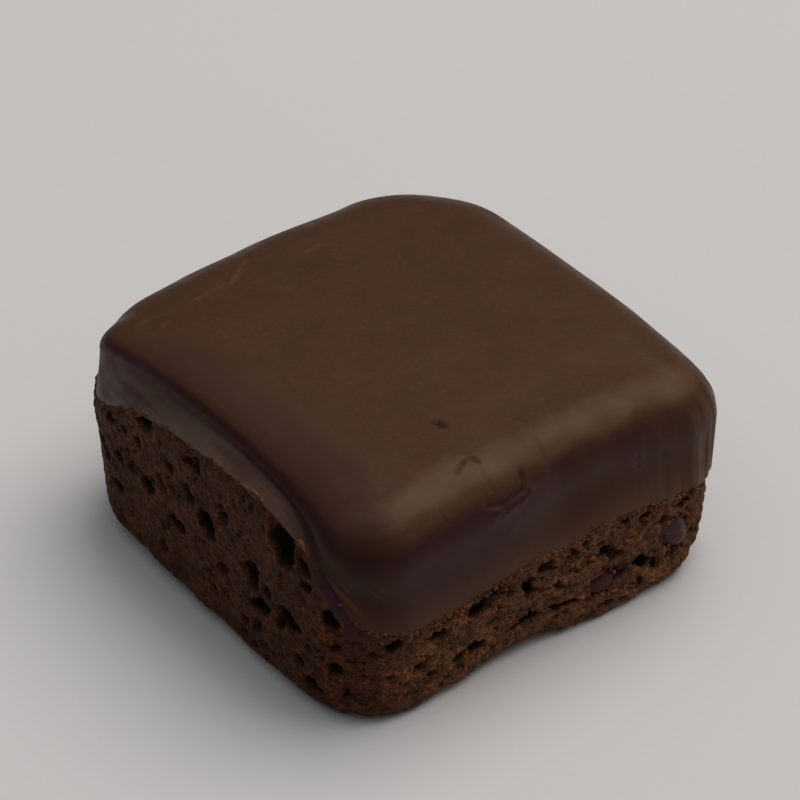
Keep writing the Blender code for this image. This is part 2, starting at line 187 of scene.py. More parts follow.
# Main pores: place, height of the middle, width, height, depth, tilt
MAIN_PORES = (
    (cut(-17.2), 21.4, 3.4, 4.4, 2.6, 12),
    (cut(-21.2), 21.0, 2.4, 1.3, 1.4, -35),
    (cut(-2.0), 15.3, 2.6, 3.0, 2.0, 40),
    (cut(10.2), 13.3, 2.0, 1.7, 1.5, 0),
    (cut(11.0), 22.4, 1.9, 1.3, 1.2, 0),
    (cut(-11.0), 13.4, 1.9, 3.2, 1.8, 15),
    (cut(-12.4), 9.6, 3.0, 1.9, 1.8, 20),
    (cut(-17.8), 11.3, 2.8, 2.5, 2.2, 0),
    (toward(-28.9, -25.0), 15.3, 1.7, 2.1, 1.5, 20),
    (cut(0.1), 22.8, 1.5, 1.7, 1.1, 0),
    (cut(1.6), 17.4, 1.2, 2.2, 1.2, 50),
    (cut(4.4), 11.1, 2.4, 1.4, 1.3, 0),
    (cut(-4.8), 10.4, 1.6, 1.4, 1.2, 0),
    (cut(16.8), 9.2, 1.7, 1.4, 1.2, 0),
    (cut(18.0), 19.0, 1.3, 1.3, 1.0, 0),
    (toward(-29.5, -22.4), 3.9, 2.4, 1.3, 1.2, -20),
    (coated(-10.4), 11.0, 3.0, 1.7, 2.2, 22),
    (coated(-7.8), 12.3, 1.5, 1.3, 1.6, 20),
    (coated(-2.8), 10.0, 1.5, 2.3, 1.6, 0),
    (toward(-23.2, -29.8), 11.3, 2.2, 1.1, 1.2, 25),
    (coated(-3.6), 5.1, 4.6, 1.0, 1.3, 3),
    (coated(2.4), 5.0, 3.6, 0.9, 1.1, -6),
    (coated(-11.0), 5.0, 2.2, 1.3, 1.5, 0),
    (coated(-13.6), 5.0, 1.4, 1.6, 1.5, 0),
    (coated(-0.4), 12.1, 2.0, 0.8, 1.2, 15),
    (coated(14.3), 12.9, 1.8, 1.0, 1.4, 0),
    (coated(14.2), 5.9, 2.6, 1.3, 1.5, -10),
    (coated(8.6), 10.1, 2.4, 1.1, 1.2, -20),
    (coated(-17.2), 10.2, 1.9, 0.9, 1.2, 10),
    (coated(20.6), 12.0, 1.6, 0.8, 1.2, 20),
)

# Lesser pores: place, height of the middle, width
LESSER_PORES = (
    (cut(0.1), 23.2, 1.2), (cut(1.5), 17.1, 1.6), (cut(13.9), 14.3, 1.3), (cut(-9.0), 23.6, 1.1),
    (cut(-10.9), 23.4, 1.2), (cut(7.3), 6.0, 1.4), (cut(-9.3), 3.7, 1.5), (cut(-12.0), 6.3, 1.5),
    (cut(-20.3), 6.5, 1.6), (cut(-21.3), 4.0, 1.3), (cut(-3.2), 5.9, 1.5), (cut(1.9), 22.6, 1.2),
    (cut(16.5), 14.2, 1.4), (cut(-9.8), 13.9, 1.6), (cut(-14.1), 12.6, 1.4), (cut(-16.1), 9.4, 1.5),
    (cut(-19.6), 10.9, 1.5), (toward(-28.6, -25.5), 8.1, 1.5), (cut(20.2), 12.5, 1.5),
    (cut(5.5), 19.4, 1.3), (cut(-5.6), 18.4, 1.2), (cut(12.6), 18.8, 1.5), (cut(8.0), 16.2, 1.2),
    (coated(3.8), 12.3, 1.1), (coated(5.3), 12.8, 1.0), (coated(9.8), 9.0, 1.2),
    (coated(11.3), 13.6, 1.2), (coated(16.4), 4.6, 1.5), (coated(17.2), 10.8, 1.4),
    (coated(11.2), 5.6, 1.2), (coated(1.6), 8.3, 1.3), (coated(-16.4), 10.1, 1.3),
    (coated(-19.7), 6.6, 1.3), (coated(-18.2), 4.7, 1.1), (coated(14.1), 3.1, 1.3),
    (coated(9.0), 2.0, 1.2),
)

# Chips: node, place, height of the middle, width, height, depth, how far behind the wall, tilt
CHIPS = (
    ("chip_corner", coated(19.7), 7.9, 4.2, 5.0, 3.4, 1.0, -12),
    ("chip_low", coated(8.2), 5.4, 4.6, 3.4, 3.2, 1.3, 8),
)
MELTED_CHIP = "chip_low"

# A chip's form lies between a ball, 2, and a block, far above 2
CHIP_SQUARENESS = 2.6

# Stains of melted chips in the crumb: place, height of the middle, width, height
STAINS = (
    (coated(10.6), 5.9, 3.6, 2.2),
    (coated(6.4), 4.4, 2.4, 1.2),
    (coated(17.6), 8.4, 1.4, 3.4),
)

# Marks in the chocolate: depth (raised where negative), darkness (pale where negative),
# half width and path. The darkness is partly the specks' own dark and partly painted shade in
# the grooves and the crease
MARKS = (
    (0.20, 1.2, 0.40, ((-7.3, -16.6, 29.0), (-7.0, -16.9, 29.0))),
    (0.26, 1.2, 0.54, ((-6.9, -17.3, 29.0), (-6.8, -17.9, 29.0))),
    (0.17, 1.0, 0.34, ((-10.6, -25.4, 28.7), (-9.6, -24.9, 28.8), (-8.9, -24.5, 28.8))),
    (0.15, 0.8, 0.28, ((-9.0, -24.6, 28.8), (-7.8, -24.5, 28.8), (-7.4, -25.4, 28.7))),
    (0.10, 0.5, 0.20, ((-7.8, -23.1, 28.9), (-7.8, -23.8, 28.9), (-7.5, -25.0, 28.8))),
    (0.08, 0.4, 0.18, ((-7.4, -25.4, 28.7), (-8.0, -27.4, 28.2), (-8.0, -28.6, 27.7),
                       (-7.7, -29.6, 26.9))),
    (0.08, 0.4, 0.22, ((0.8, -26.0, 28.5), (0.7, -27.1, 28.0), (0.6, -28.4, 27.0))),
    (0.07, 0.4, 0.20, ((-15.3, -28.6, 27.6), (-15.4, -29.5, 27.0), (-15.4, -30.0, 26.5))),
    (0.28, 0.6, 0.46, ((-9.3, -30.3, 25.9), (-7.7, -30.3, 25.3), (-5.9, -30.1, 25.5),
                       (-4.0, -29.8, 25.6), (-3.6, -29.5, 26.3), (-3.3, -28.9, 27.0))),
    (-0.34, 0.0, 0.80, ((-8.3, -30.3, 24.3), (-7.5, -30.1, 24.1), (-5.7, -29.9, 24.1),
                        (-3.3, -29.5, 24.6))),
    (0.05, 0.3, 0.18, ((1.0, -21.9, 28.9), (1.3, -23.1, 28.9))),
    (0.10, 0.8, 0.24, ((13.4, -29.0, 22.1), (13.5, -29.0, 22.0))),
    (0.10, 0.8, 0.24, ((17.4, -29.3, 20.5), (17.5, -29.3, 20.4))),
    (0.08, 0.6, 0.24, ((13.4, -29.2, 20.6), (13.5, -29.2, 20.5))),
    (-0.14, -1.6, 0.24, ((-9.7, 20.8, 28.6), (-8.1, 21.7, 28.6), (-7.1, 22.3, 28.6))),
    (-0.12, -1.4, 0.22, ((-6.6, 22.7, 28.6), (-5.3, 23.3, 28.6))),
    (-0.1, -1.2, 0.22, ((-21.2, 19.3, 28.6), (-19.6, 19.3, 28.6))),
    (-0.1, -1.2, 0.2, ((-16.1, 20.8, 28.6), (-14.9, 20.6, 28.6), (-13.4, 20.8, 28.6))),
    (-0.08, -0.8, 0.2, ((-13.0, 21.0, 28.6), (-11.3, 20.8, 28.6), (-9.9, 21.0, 28.6))),
    (-0.08, -1.0, 0.2, ((1.4, 20.3, 28.6), (2.5, 20.2, 28.6), (3.8, 20.3, 28.6))),
)


def corner_radius(phi):
    """Radius of the corner that a direction points to."""
    ahead = np.cos(phi) > 0
    far = np.where(ahead, CORNER_BACK, CORNER_LEFT)
    near = np.where(ahead, CORNER_RIGHT, CORNER_FRONT)
    return np.where(np.sin(phi) > 0, far, near)


def plan_point(phi):
    """Points of the rounded square's outline in the directions phi."""
    c = np.abs(np.cos(phi))
    s = np.abs(np.sin(phi))
    r = corner_radius(phi)
    mid_x = HALF_X - r
    mid_y = HALF_Y - r
    to_x = HALF_X / np.maximum(c, 1e-9)
    to_y = HALF_Y / np.maximum(s, 1e-9)
    along = mid_x * c + mid_y * s
    to_arc = along + np.sqrt(np.maximum(along ** 2 - mid_x ** 2 - mid_y ** 2 + r ** 2, 0))
    away = np.where(to_x * s <= mid_y, to_x, np.where(to_y * c <= mid_x, to_y, to_arc))
    return np.column_stack([away * np.cos(phi), away * np.sin(phi)])


def plan_normal(phi):
    """Outward normals of the outline in the directions phi."""
    small = 0.002
    ahead = plan_point(phi + small) - plan_point(phi - small)
    ahead /= np.hypot(ahead[:, 0], ahead[:, 1])[:, None]
    return np.column_stack([ahead[:, 1], -ahead[:, 0]])


def outline_lengths():
    """Fine directions and the distance along the outline to each."""
    fine = np.linspace(0, 2 * np.pi, 7201)
    step = np.hypot(*np.diff(plan_point(fine), axis=0).T)
    return fine, np.concatenate([[0], np.cumsum(step)])


def columns(count, density):
    """Directions spaced along the outline, closer where the density is higher."""
    fine, along = outline_lengths()
    weight = density(np.degrees((fine[1:] + fine[:-1]) / 2)) * np.diff(along)
    share = np.concatenate([[0], np.cumsum(weight)])
    return np.interp(np.arange(count) / count * share[-1], share, fine)


def length_at(phi):
    """Distance along the outline to the directions phi."""
    fine, along = outline_lengths()
    return np.interp(np.mod(phi, 2 * np.pi), fine, along)


def length_to(place):
    """Distance along the outline to a place in degrees."""
    return length_at(np.radians([place]))[0]


def sizes_at(sections, phi):
    """Sizes of a table of sections in the directions phi, joined by smooth curves."""
    rows = np.array(sorted(sections))
    turn = 2 * np.pi
    place = np.radians(rows[:, 0])
    k = np.concatenate([place[-2:] - turn, place, place[:2] + turn])
    v = np.concatenate([rows[-2:, 1:], rows[:, 1:], rows[:2, 1:]])
    grade = np.diff(v, axis=0) / np.diff(k)[:, None]
    before = grade[:-1]
    after = grade[1:]
    slope = (v[2:] - v[:-2]) / (k[2:] - k[:-2])[:, None]
    limit = 2.5 * np.minimum(np.abs(before), np.abs(after))
    slope = np.where(before * after > 0, np.clip(slope, -limit, limit), 0)
    p = np.mod(phi, turn)
    i = np.clip(np.searchsorted(k, p, side="right") - 1, 1, len(k) - 3)
    h = (k[i + 1] - k[i])[:, None]
    t = (p - k[i])[:, None] / h
    rise = t * t * (3 - 2 * t)
    start = t * (1 - t) ** 2 * h * slope[i - 1]
    finish = t * t * (t - 1) * h * slope[i]
    return v[i] * (1 - rise) + v[i + 1] * rise + start + finish


def top_height(points):
    """Height of the top over points of the plan."""
    across = 1 - (points[..., 0] / HALF_X) ** 2
    along = 1 - (points[..., 1] / HALF_Y) ** 2
    height = TOP + CROWN * across * along
    for x, y, depth, spread in SAGS:
        away = np.hypot(points[..., 0] - x, points[..., 1] - y)
        height = height - depth * np.exp(-(away / spread) ** 2)
    return height


def ease(f):
    """Runs from 0 to 1 and is level at both ends."""
    f = np.clip(f, 0, 1)
    return f * f * (3 - 2 * f)


def around(value, middle, width):
    """1 at the middle, falling smoothly to near 0 beyond twice the width."""
    return np.exp(-((value - middle) / width) ** 2)


def within(place, begin, end, rise, fall):
    """1 between two places, eased in past the first and out before the second."""
    return ease((place - begin) / rise) * ease((end - place) / fall)


def on_cut_side(place):
    """1 along the cut side and 0 on the other sides."""
    return within(place, CUT_BEGINS, CUT_ENDS, 8, 8)


def lattice(ix, iy, iz, seed):
    """Chance values from 0 to 1 at whole-numbered places."""
    h = (ix * SCATTER[0] + iy * SCATTER[1] + iz * SCATTER[2] + seed * SCATTER[3]) & LOW_BITS
    h = ((h ^ (h >> 13)) * SCATTER[4]) & LOW_BITS
    h = ((h ^ (h >> 15)) * SCATTER[5]) & LOW_BITS
    return ((h ^ (h >> 16)) & 0xFFFFFF) / 0xFFFFFF


def noise(points, size, seed):
    """Smooth noise from -1 to 1 whose lumps have the given size."""
    p = np.asarray(points) / size
    whole = np.floor(p).astype(np.int64)
    f = ease(p - whole)
    total = 0.0
    for corner in range(8):
        step = [(corner >> bit) & 1 for bit in range(3)]
        weight = 1.0
        for axis, on in enumerate(step):
            weight = weight * (f[..., axis] if on else 1 - f[..., axis])
        total = total + weight * lattice(*(whole[..., axis] + step[axis] for axis in range(3)), seed)
    return total * 2 - 1


def grains(points, size, seed):
    """Rounded lumps from 0 to 1, packed like grains of the given size."""
    p = np.asarray(points) / size
    whole = np.floor(p).astype(np.int64)
    nearest = np.full(p.shape[:-1], 9.0)
    for step in np.ndindex(3, 3, 3):
        cell = whole + np.array(step) - 1
        place = [lattice(cell[..., 0], cell[..., 1], cell[..., 2], seed + axis) for axis in range(3)]
        away = np.sum((cell + np.stack(place, -1) - p) ** 2, -1)
        nearest = np.minimum(nearest, away)
    return np.clip(1 - nearest, 0, 1)


def closeness(points, path, width):
    """How close points are to a path: 1 on it, and near 0 beyond its half width."""
    path = np.array(path)
    nearest = np.full(points.shape[:-1], 1e6)
    low = path.min(axis=0) - 3 * width
    high = path.max(axis=0) + 3 * width
    inside = np.all((points > low) & (points < high), axis=-1)
    picked = points[inside]
    best = np.full(len(picked), 1e6)
    for start, end in zip(path[:-1], path[1:]):
        run = end - start
        f = np.clip((picked - start) @ run / (run @ run), 0, 1)
        best = np.minimum(best, np.sum((picked - start - f[:, None] * run) ** 2, -1))
    nearest[inside] = best
    return np.exp(-nearest / width ** 2)


def on_surface(path, rings):
    """The points of a grid of rings that lie nearest to a path's points."""
    flat = rings.reshape(-1, 3)
    return np.array([flat[np.argmin(np.sum((flat - point) ** 2, -1))] for point in path])


def thinned(mesh, most):
    """The mesh with at most so many triangles, the spare ones taken where it is plainest."""
    thing = bpy.data.objects.new(mesh.name + "_fine", mesh)
    bpy.context.scene.collection.objects.link(thing)
    thin = thing.modifiers.new("thin", "DECIMATE")
    thin.ratio = most / sum(len(face.vertices) - 2 for face in mesh.polygons)
    thin.use_collapse_triangulate = True
    depsgraph = bpy.context.evaluated_depsgraph_get()
    made = bpy.data.meshes.new_from_object(thing.evaluated_get(depsgraph))
    made.name = mesh.name + "_mesh"
    bpy.data.objects.remove(thing)
    made.shade_smooth()
    return made


def grid_mesh(name, rings, close_start, close_end):
    """A closed mesh through rings of points in millimetres, its ends closed by fans."""
    count = rings.shape[1]
    here = np.arange(len(rings) - 1)[:, None] * count + np.arange(count)
    beside = np.arange(len(rings) - 1)[:, None] * count + (np.arange(count) + 1) % count
    quads = np.stack([here, beside, beside + count, here + count], -1).reshape(-1, 4)
    corners = np.concatenate([rings.reshape(-1, 3), [close_start, close_end]])
    first = len(corners) - 2
    start = (len(rings) - 1) * count
    k = np.arange(count)
    after = (k + 1) % count
    fans = [np.column_stack([after, k, np.full(count, first)]),
            np.column_stack([start + k, start + after, np.full(count, first + 1)])]
    mesh = bpy.data.meshes.new(name)
    mesh.from_pydata((corners * MM).tolist(), [], quads.tolist() + np.concatenate(fans).tolist())
    mesh.shade_smooth()
    return mesh


def point_values(mesh, name, values):
    """Keeps one number for each point of a mesh, for its material."""
    held = mesh.attributes.new(name, "FLOAT", "POINT")
    full = np.zeros(len(mesh.vertices))
    full[:values.size] = values.ravel()
    held.data.foreach_set("value", full)


def piece(name, mesh, finish, replaced=None):
    """Puts a mesh in the scene as a piece of the brownie."""
    mesh.materials.append(finish)
    thing = bpy.data.objects.new(name, mesh)
    bpy.context.scene.collection.objects.link(thing)
    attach(thing, "root")
    if replaced:
        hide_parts(replaced)
    return thing


def linear(hex_colour):
    """Linear colour, with alpha, of an sRGB hex value."""
    parts = [int(hex_colour[k:k + 2], 16) / 255 for k in (1, 3, 5)]
    return [p / 12.92 if p <= 0.04045 else ((p + 0.055) / 1.055) ** 2.4 for p in parts] + [1.0]


def hex_property(name, description, hex_colour):
    """A colour that a user may change, its default given as an sRGB hex value."""
    return bpy.props.FloatVectorProperty(
        name=name, description=description, subtype="COLOR", size=4, min=0, max=1,
        default=linear(hex_colour))


def node(tree, kind, links=None, **settings):
    """Adds a node with its settings, and fills its sockets with values or links."""
    made = tree.nodes.new(kind)
    for name, value in settings.items():
        setattr(made, name, value)
    for socket, source in (links or {}).items():
        if isinstance(source, bpy.types.NodeSocket):
            tree.links.new(source, made.inputs[socket])
        else:
            made.inputs[socket].default_value = source
    return made


def fresh_material(name):
    """A material with its node tree and its shader."""
    made = bpy.data.materials.new(name)
    made.use_nodes = True
    return made, made.node_tree, made.node_tree.nodes["Principled BSDF"]


class BrownieCrumbSettings(bpy.types.PropertyGroup):
    """Sizes and colours of the crumb."""

    base: hex_property("Crumb", "Colour of the moist crumb", "#603D25")
    grain: hex_property("Grain", "Colour of the lighter grains", "#8A5431")
    # Painted shade: this tint darkens the crumb of the cut face, which faces away from the key light
    cut_face_shade: hex_property("Damp", "Tint of the moister crumb that the cut laid open", "#B29D89")
    # Painted shade: the pores and chip pockets are mixed towards this colour by their depth
    hollow: hex_property("Hollow", "Colour deep inside the pores", "#120806")
    pores: bpy.props.IntProperty(
        name="Pores", description="Middling pores spread over the walls", default=200, min=0)
    fine_pores: bpy.props.IntProperty(
        name="Fine pores", description="Small pores spread over the walls", default=2400, min=0)
    cracks: bpy.props.IntProperty(
        name="Cracks", description="Flat cracks in the coated side", default=46, min=0)
    back_pores: bpy.props.IntProperty(
        name="Back pores", description="Larger pores in the right and back sides", default=44, min=0)
    crag: bpy.props.FloatProperty(
        name="Crag", description="Unevenness of the torn walls", default=0.00030, min=0,
        subtype="DISTANCE", unit="LENGTH")


class BrownieChocolateSettings(bpy.types.PropertyGroup):
    """Sizes and colours of the chocolate layer and the chips."""

    layer: hex_property("Chocolate layer", "Colour of the set chocolate", "#472D1D")
    # This pale colour is partly a dusty fat film and partly a painted reflection of the bright
    # surroundings
    bloom_sheen: hex_property("Bloom", "Colour of the dull film on the cut side's flare", "#544A43")
    # Painted shade: the drape colour darkens the chocolate where it turns down, on the cut side's rim
    # and at the front corner; the crumb also takes it for smeared chocolate
    drape: hex_property("Drape", "Colour of the chocolate where it turns down", "#371B22")
    # Painted highlight: this paler colour lightens the coated side's shoulder and the right corner's
    # wall
    scuff: hex_property("Scuff", "Colour of the rubbed shoulder", "#67503A")
    # Painted shade as well as the marks' own dark: this colour darkens the marks, the cut side's rim
    # and the front corner
    mark: hex_property("Marks", "Colour of the marks and of the darkest rim", "#1E0B06")
    chip: hex_property("Chip", "Colour of the chocolate chips", "#46292A")
    # The melted chip's darker colour also paints the shade of its deeper seat
    melted: hex_property("Melted chip", "Colour of the chip that melted", "#3A1512")
    roughness: bpy.props.FloatProperty(
        name="Roughness", description="Roughness of the set chocolate", default=0.48, min=0, max=1,
        subtype="FACTOR")
    waviness: bpy.props.FloatProperty(
        name="Waviness", description="Height of the slow waves left by pouring", default=0.00018,
        min=0, subtype="DISTANCE", unit="LENGTH")


class BrownieStageSettings(bpy.types.PropertyGroup):
    """Floor and light."""

    floor: hex_property("Floor", "Colour of the pale floor", "#DADADA")
    key: bpy.props.FloatProperty(
        name="Key light", description="Power of the large soft light overhead", default=21.0, min=0,
        subtype="POWER", unit="POWER")
    fill: bpy.props.FloatProperty(
        name="Surroundings", description="Brightness of the light from all round", default=0.11,
        min=0)


def frame_shift():
    """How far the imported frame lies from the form's own middle, in millimetres."""
    phi = columns(96, lambda place: np.ones_like(place))
    stand, _, _, flare = sizes_at(LAYER_SECTIONS, phi)[:, 2:6].T
    outer = plan_point(phi) - plan_normal(phi) * np.minimum(flare, stand)[:, None]
    low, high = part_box("icing")
    middle = (outer.min(axis=0) + outer.max(axis=0)) / 2
    return (low[0] + high[0]) / 2 / MM - middle[0], (low[1] + high[1]) / 2 / MM - middle[1], 0.0


def wall_inset(phi, z):
    """Inset of the crumb's wall at the height z."""
    head, reach, rise, lean = sizes_at(CRUMB_SECTIONS, phi).T
    lip = sizes_at(LAYER_SECTIONS, phi)[:, 4]
    up = np.clip((z - rise) / (lip - rise), 0, 1)
    bend = np.clip(1 - z / rise, 0, 1)
    return head + lean * (1 - up) + reach * (1 - np.sqrt(1 - bend ** 2))


def finer_in_front(place):
    """Density of the crumb's columns: more on the two sides that show most."""
    return np.where((place > 130) & (place < 325), 2.2, 1.0)


class Wall:
    """The crumb's wall as a grid: one column for each direction, rows from foot to lip."""

    def __init__(self, count, foot_rows, rows):
        self.phi = columns(count, finer_in_front)
        self.place = np.degrees(self.phi)[None]
        self.edge = plan_point(self.phi)
        self.normal = plan_normal(self.phi)
        self.along = length_at(self.phi)
        self.round = outline_lengths()[1][-1]
        self.lip, self.flare = sizes_at(LAYER_SECTIONS, self.phi)[:, 4:6].T
        self.side = on_cut_side(self.place)
        # Mask of the cut face, which the crumb's material paints darker as shade; it also draws in the
        # head below
        self.shaded_cut_face = within(self.place, CUT_BEGINS, CUT_ENDS + 14, 8, 14)
        ragged = noise(np.column_stack([self.edge, self.lip]), 1.1, 15)
        self.top = self.lip + 0.45 - self.side[0] * (0.15 + 0.3 * ragged)
        head, reach, rise, lean = sizes_at(CRUMB_SECTIONS, self.phi).T
        turn = np.pi / 2 * np.arange(foot_rows) / foot_rows
        foot_in = (head + lean)[None] + reach * (1 - np.sin(turn))[:, None]
        foot_z = rise * (1 - np.cos(turn))[:, None]
        up = np.linspace(0, 1, rows)[:, None]
        wall_z = rise + (self.top - rise) * up
        # On the cut side the crumb draws in at its head, level with the chocolate's flare
        tuck = 0.55 * self.shaded_cut_face * ease(1 - (self.top - wall_z) / 1.5)
        wall_in = head + lean * (1 - up) + tuck
        inset = np.concatenate([foot_in, wall_in])
        self.z = np.concatenate([foot_z, wall_z])
        plan = self.edge[None] - self.normal[None] * inset[..., None]
        self.points = np.concatenate([plan, self.z[..., None]], -1)
        shape = self.z.shape
        down = np.concatenate([np.cos(turn), np.zeros(rows)])[:, None]
        level = np.sqrt(1 - down ** 2)
        self.out = np.stack([np.broadcast_to(self.normal[:, k] * level, shape) for k in (0, 1)]
                            + [np.broadcast_to(-down, shape)], -1)
        self.depth = np.zeros(shape)
        bend = 0.32 * noise(self.points, 1.4, 11) + 0.34 * noise(self.points, 0.6, 12)
        lift = 0.32 * noise(self.points, 1.4, 13) + 0.34 * noise(self.points, 0.6, 14)
        self.bent_along = self.along[None] + bend
        self.bent_z = self.z + lift

    def past(self, along, at):
        """How far distances along the outline lie past another, the shorter way round."""
        return (along - at + self.round / 2) % self.round - self.round / 2

    def hollow(self, at, z, width, height, depth, tilt, steep):
        """Sinks one pore into the wall, the steeper its sides the smaller steep is."""
        picked = np.nonzero(np.abs(self.past(self.along, at)) < max(width, height) / 2 + 0.6)[0]
        if not len(picked):
            return
        u = self.past(self.bent_along[:, picked], at)
        v = self.bent_z[:, picked] - z
        c = math.cos(math.radians(tilt))
        s = math.sin(math.radians(tilt))
        q = ((u * c + v * s) / (width / 2)) ** 2 + ((v * c - u * s) / (height / 2)) ** 2
        sunk = depth * np.clip(1 - q, 0, 1) ** steep
        self.depth[:, picked] = np.maximum(self.depth[:, picked], sunk)


def sink_shown_pores(wall, rng):
    """Sinks the pores that the photograph shows."""
    for place, z, width, height, depth, tilt in MAIN_PORES:
        wall.hollow(length_to(place), z, width * 1.3, height * 1.3, depth * 1.2, tilt, 0.5)
    for place, z, width in LESSER_PORES:
        tilt = rng.uniform(-50, 50)
        wall.hollow(length_to(place), z, width * 1.3, width * 1.2, width * 0.8, tilt, 0.8)


def spread_pores(wall, rng, count, widths, depth_share):
    """Sinks chance pores all over the wall, many small ones and few large."""
    for _ in range(count):
        at = rng.uniform(0, wall.round)
        column = np.argmin(np.abs(wall.along - at))
        z = rng.uniform(0.2, wall.top[column] - 0.2)
        width = widths[0] + (widths[1] - widths[0]) * rng.random() ** 2.5
        height = width * rng.uniform(0.5, 1.1)
        wall.hollow(at, z, width, height, width * depth_share, rng.uniform(-60, 60), 0.8)


def sink_cracks(wall, rng, count):
    """Sinks flat cracks into the coated side, where the crumb was pressed."""
    for _ in range(count):
        at = length_to(rng.uniform(236, 312))
        width = rng.uniform(1.2, 4.0)
        z = rng.uniform(1.0, 12.0)
        height = rng.uniform(0.25, 0.6)
        depth = rng.uniform(0.4, 0.9)
        wall.hollow(at, z, width, height, depth, rng.uniform(-12, 14), 0.7)


def sink_back_pores(wall, rng, count):
    """Sinks larger pores into the two sides that the photograph doesn't show."""
    for _ in range(count):
        at = length_to(rng.uniform(-34, 128) % 360)
        width = rng.uniform(1.2, 3.4)
        z = rng.uniform(2.0, 12.0)
        height = width * rng.uniform(0.35, 0.8)
        wall.hollow(at, z, width, height, width * 0.5, rng.uniform(-20, 20), 0.5)


def torn_grain(wall, crag):
    """Relief of the grain on the wall, rougher where it was torn than where it was cut."""
    bent = wall.points + 0.25 * np.stack([noise(wall.points, 0.8, 70 + k) for k in range(3)], -1)
    torn = 1.5 - 0.7 * wall.side
    return crag * (0.9 * noise(wall.points, 3.2, 3) + torn * (grains(bent, 1.2, 5) - 0.6)
                   + 0.8 * torn * (grains(bent, 0.6, 9) - 0.6))


def crumb_mesh(settings, shift):
    """The open crumb: wall with all its pores, underside and a plain hidden head."""
    wall = Wall(count=1500, foot_rows=12, rows=112)
    rng = np.random.default_rng(17)
    sink_shown_pores(wall, rng)
    spread_pores(wall, rng, settings.pores, widths=(0.7, 2.0), depth_share=0.5)
    spread_pores(wall, rng, settings.fine_pores, widths=(0.25, 0.9), depth_share=0.55)
    sink_cracks(wall, rng, settings.cracks)
    sink_back_pores(wall, rng, settings.back_pores)
    smear = smear_amount(wall)
    sunk = wall.depth - torn_grain(wall, settings.crag / MM)
    sunk = sunk * (1 - 0.75 * smear) - 0.3 * smear
    chips = chip_rooms(wall)
    sunk = np.where(chips > 0, np.maximum(sunk, chips), sunk)
    points = wall.points - wall.out * (sunk * ease(wall.z / 0.8))[..., None]
    points[..., 2] = np.maximum(points[..., 2], 0.0)
    under = under_rings(points[0])
    grid = np.stack(under + list(points) + head_rings(wall)) + np.array(shift)
    mesh = grid_mesh("sponge_crumb", grid, grid[0].mean(axis=0), grid[-1].mean(axis=0))
    # The depth paints shade into the pores and chip pockets, and the cut-face mask paints the cut face
    # darker
    for name, values in (("depth", np.maximum(wall.depth, chips)),
                         ("smear", np.maximum(smear, stains(wall))),
                         ("shaded_cut_face", wall.shaded_cut_face)):
        full = np.zeros(grid.shape[:2])
        full[len(under):len(under) + len(points)] = values
        point_values(mesh, name, full)
    return thinned(mesh, MOST_TRIANGLES)


def chip_rooms(wall):
    """Depth of the pockets in which the chips sit."""
    room = np.zeros(wall.z.shape)
    for _, place, z, width, height, depth, behind, _ in CHIPS:
        u = wall.past(wall.along[None], length_to(place))
        q = (u / (width / 2 + 0.05)) ** 2 + ((wall.z - z) / (height / 2 + 0.05)) ** 2
        room = np.maximum(room, (behind + depth / 2) * np.clip(1 - q, 0, 1) ** 0.5)
    return room


def stains(wall):
    """Places where a chip has melted into the crumb."""
    stained = np.zeros(wall.z.shape)
    for place, z, width, height in STAINS:
        u = (wall.along[None] - length_to(place)) / (width / 2)
        away = u ** 2 + ((wall.z - z) / (height / 2)) ** 2 + 0.6 * noise(wall.points, 0.9, 24)
        stained = np.maximum(stained, 0.85 * ease((1.2 - away) / 0.6))
    return stained


def smear_amount(wall):
    """How much chocolate is smeared over the crumb under the layer's lower edge."""
    near = around(wall.place, 222, 6)
    below = (wall.lip[None] - wall.z) / (0.2 + 3.4 * near)
    patch = noise(wall.points, 0.9, 22) * 0.6
    share = (0.3 + 0.7 * near) * (1 - wall.side * (1 - near))
    return ease(1.1 - below + patch) * share


def under_rings(sole):
    """Rings of the flat baked underside, from near its middle out to the foot."""
    rings = []
    for f in (0.12, 0.3, 0.46, 0.6, 0.7, 0.78, 0.84, 0.885, 0.92, 0.945, 0.965, 0.98, 0.991):
        ring = sole * np.array([f, f, 1.0])
        ring[:, 2] = 0.12 * np.clip(noise(ring, 1.6, 31) + noise(ring, 5.0, 32), 0, 2)
        rings.append(ring)
    return rings


def head_rings(wall):
    """Plain rings that close the crumb under the chocolate layer."""
    rings = []
    reach, drop, stand = sizes_at(LAYER_SECTIONS, wall.phi)[:, :3].T
    head = np.minimum(top_height(wall.edge * 0.8) - drop - 2.2, wall.top)
    steps = ((wall.flare + 0.5, wall.top - 0.05), (stand + 1.8, head), (stand + reach, head))
    for away, z in steps:
        plan = wall.edge - wall.normal * np.maximum(away, wall.flare + 0.6)[:, None]
        rings.append(np.column_stack([plan, z]))
    return rings


def clinging_crumb(work, place, size, rng, shift):
    """Adds one uneven crumb."""
    made = bmesh.ops.create_icosphere(work, subdivisions=2, radius=size)["verts"]
    stretch = rng.uniform(0.7, 1.3, 3)
    for vert in made:
        point = np.array(vert.co) * stretch
        point *= 1 + 0.3 * float(noise(point * 3 + np.array(place), 0.7, 63))
        vert.co = Vector((point + np.array(place) + np.array(shift)) * MM)


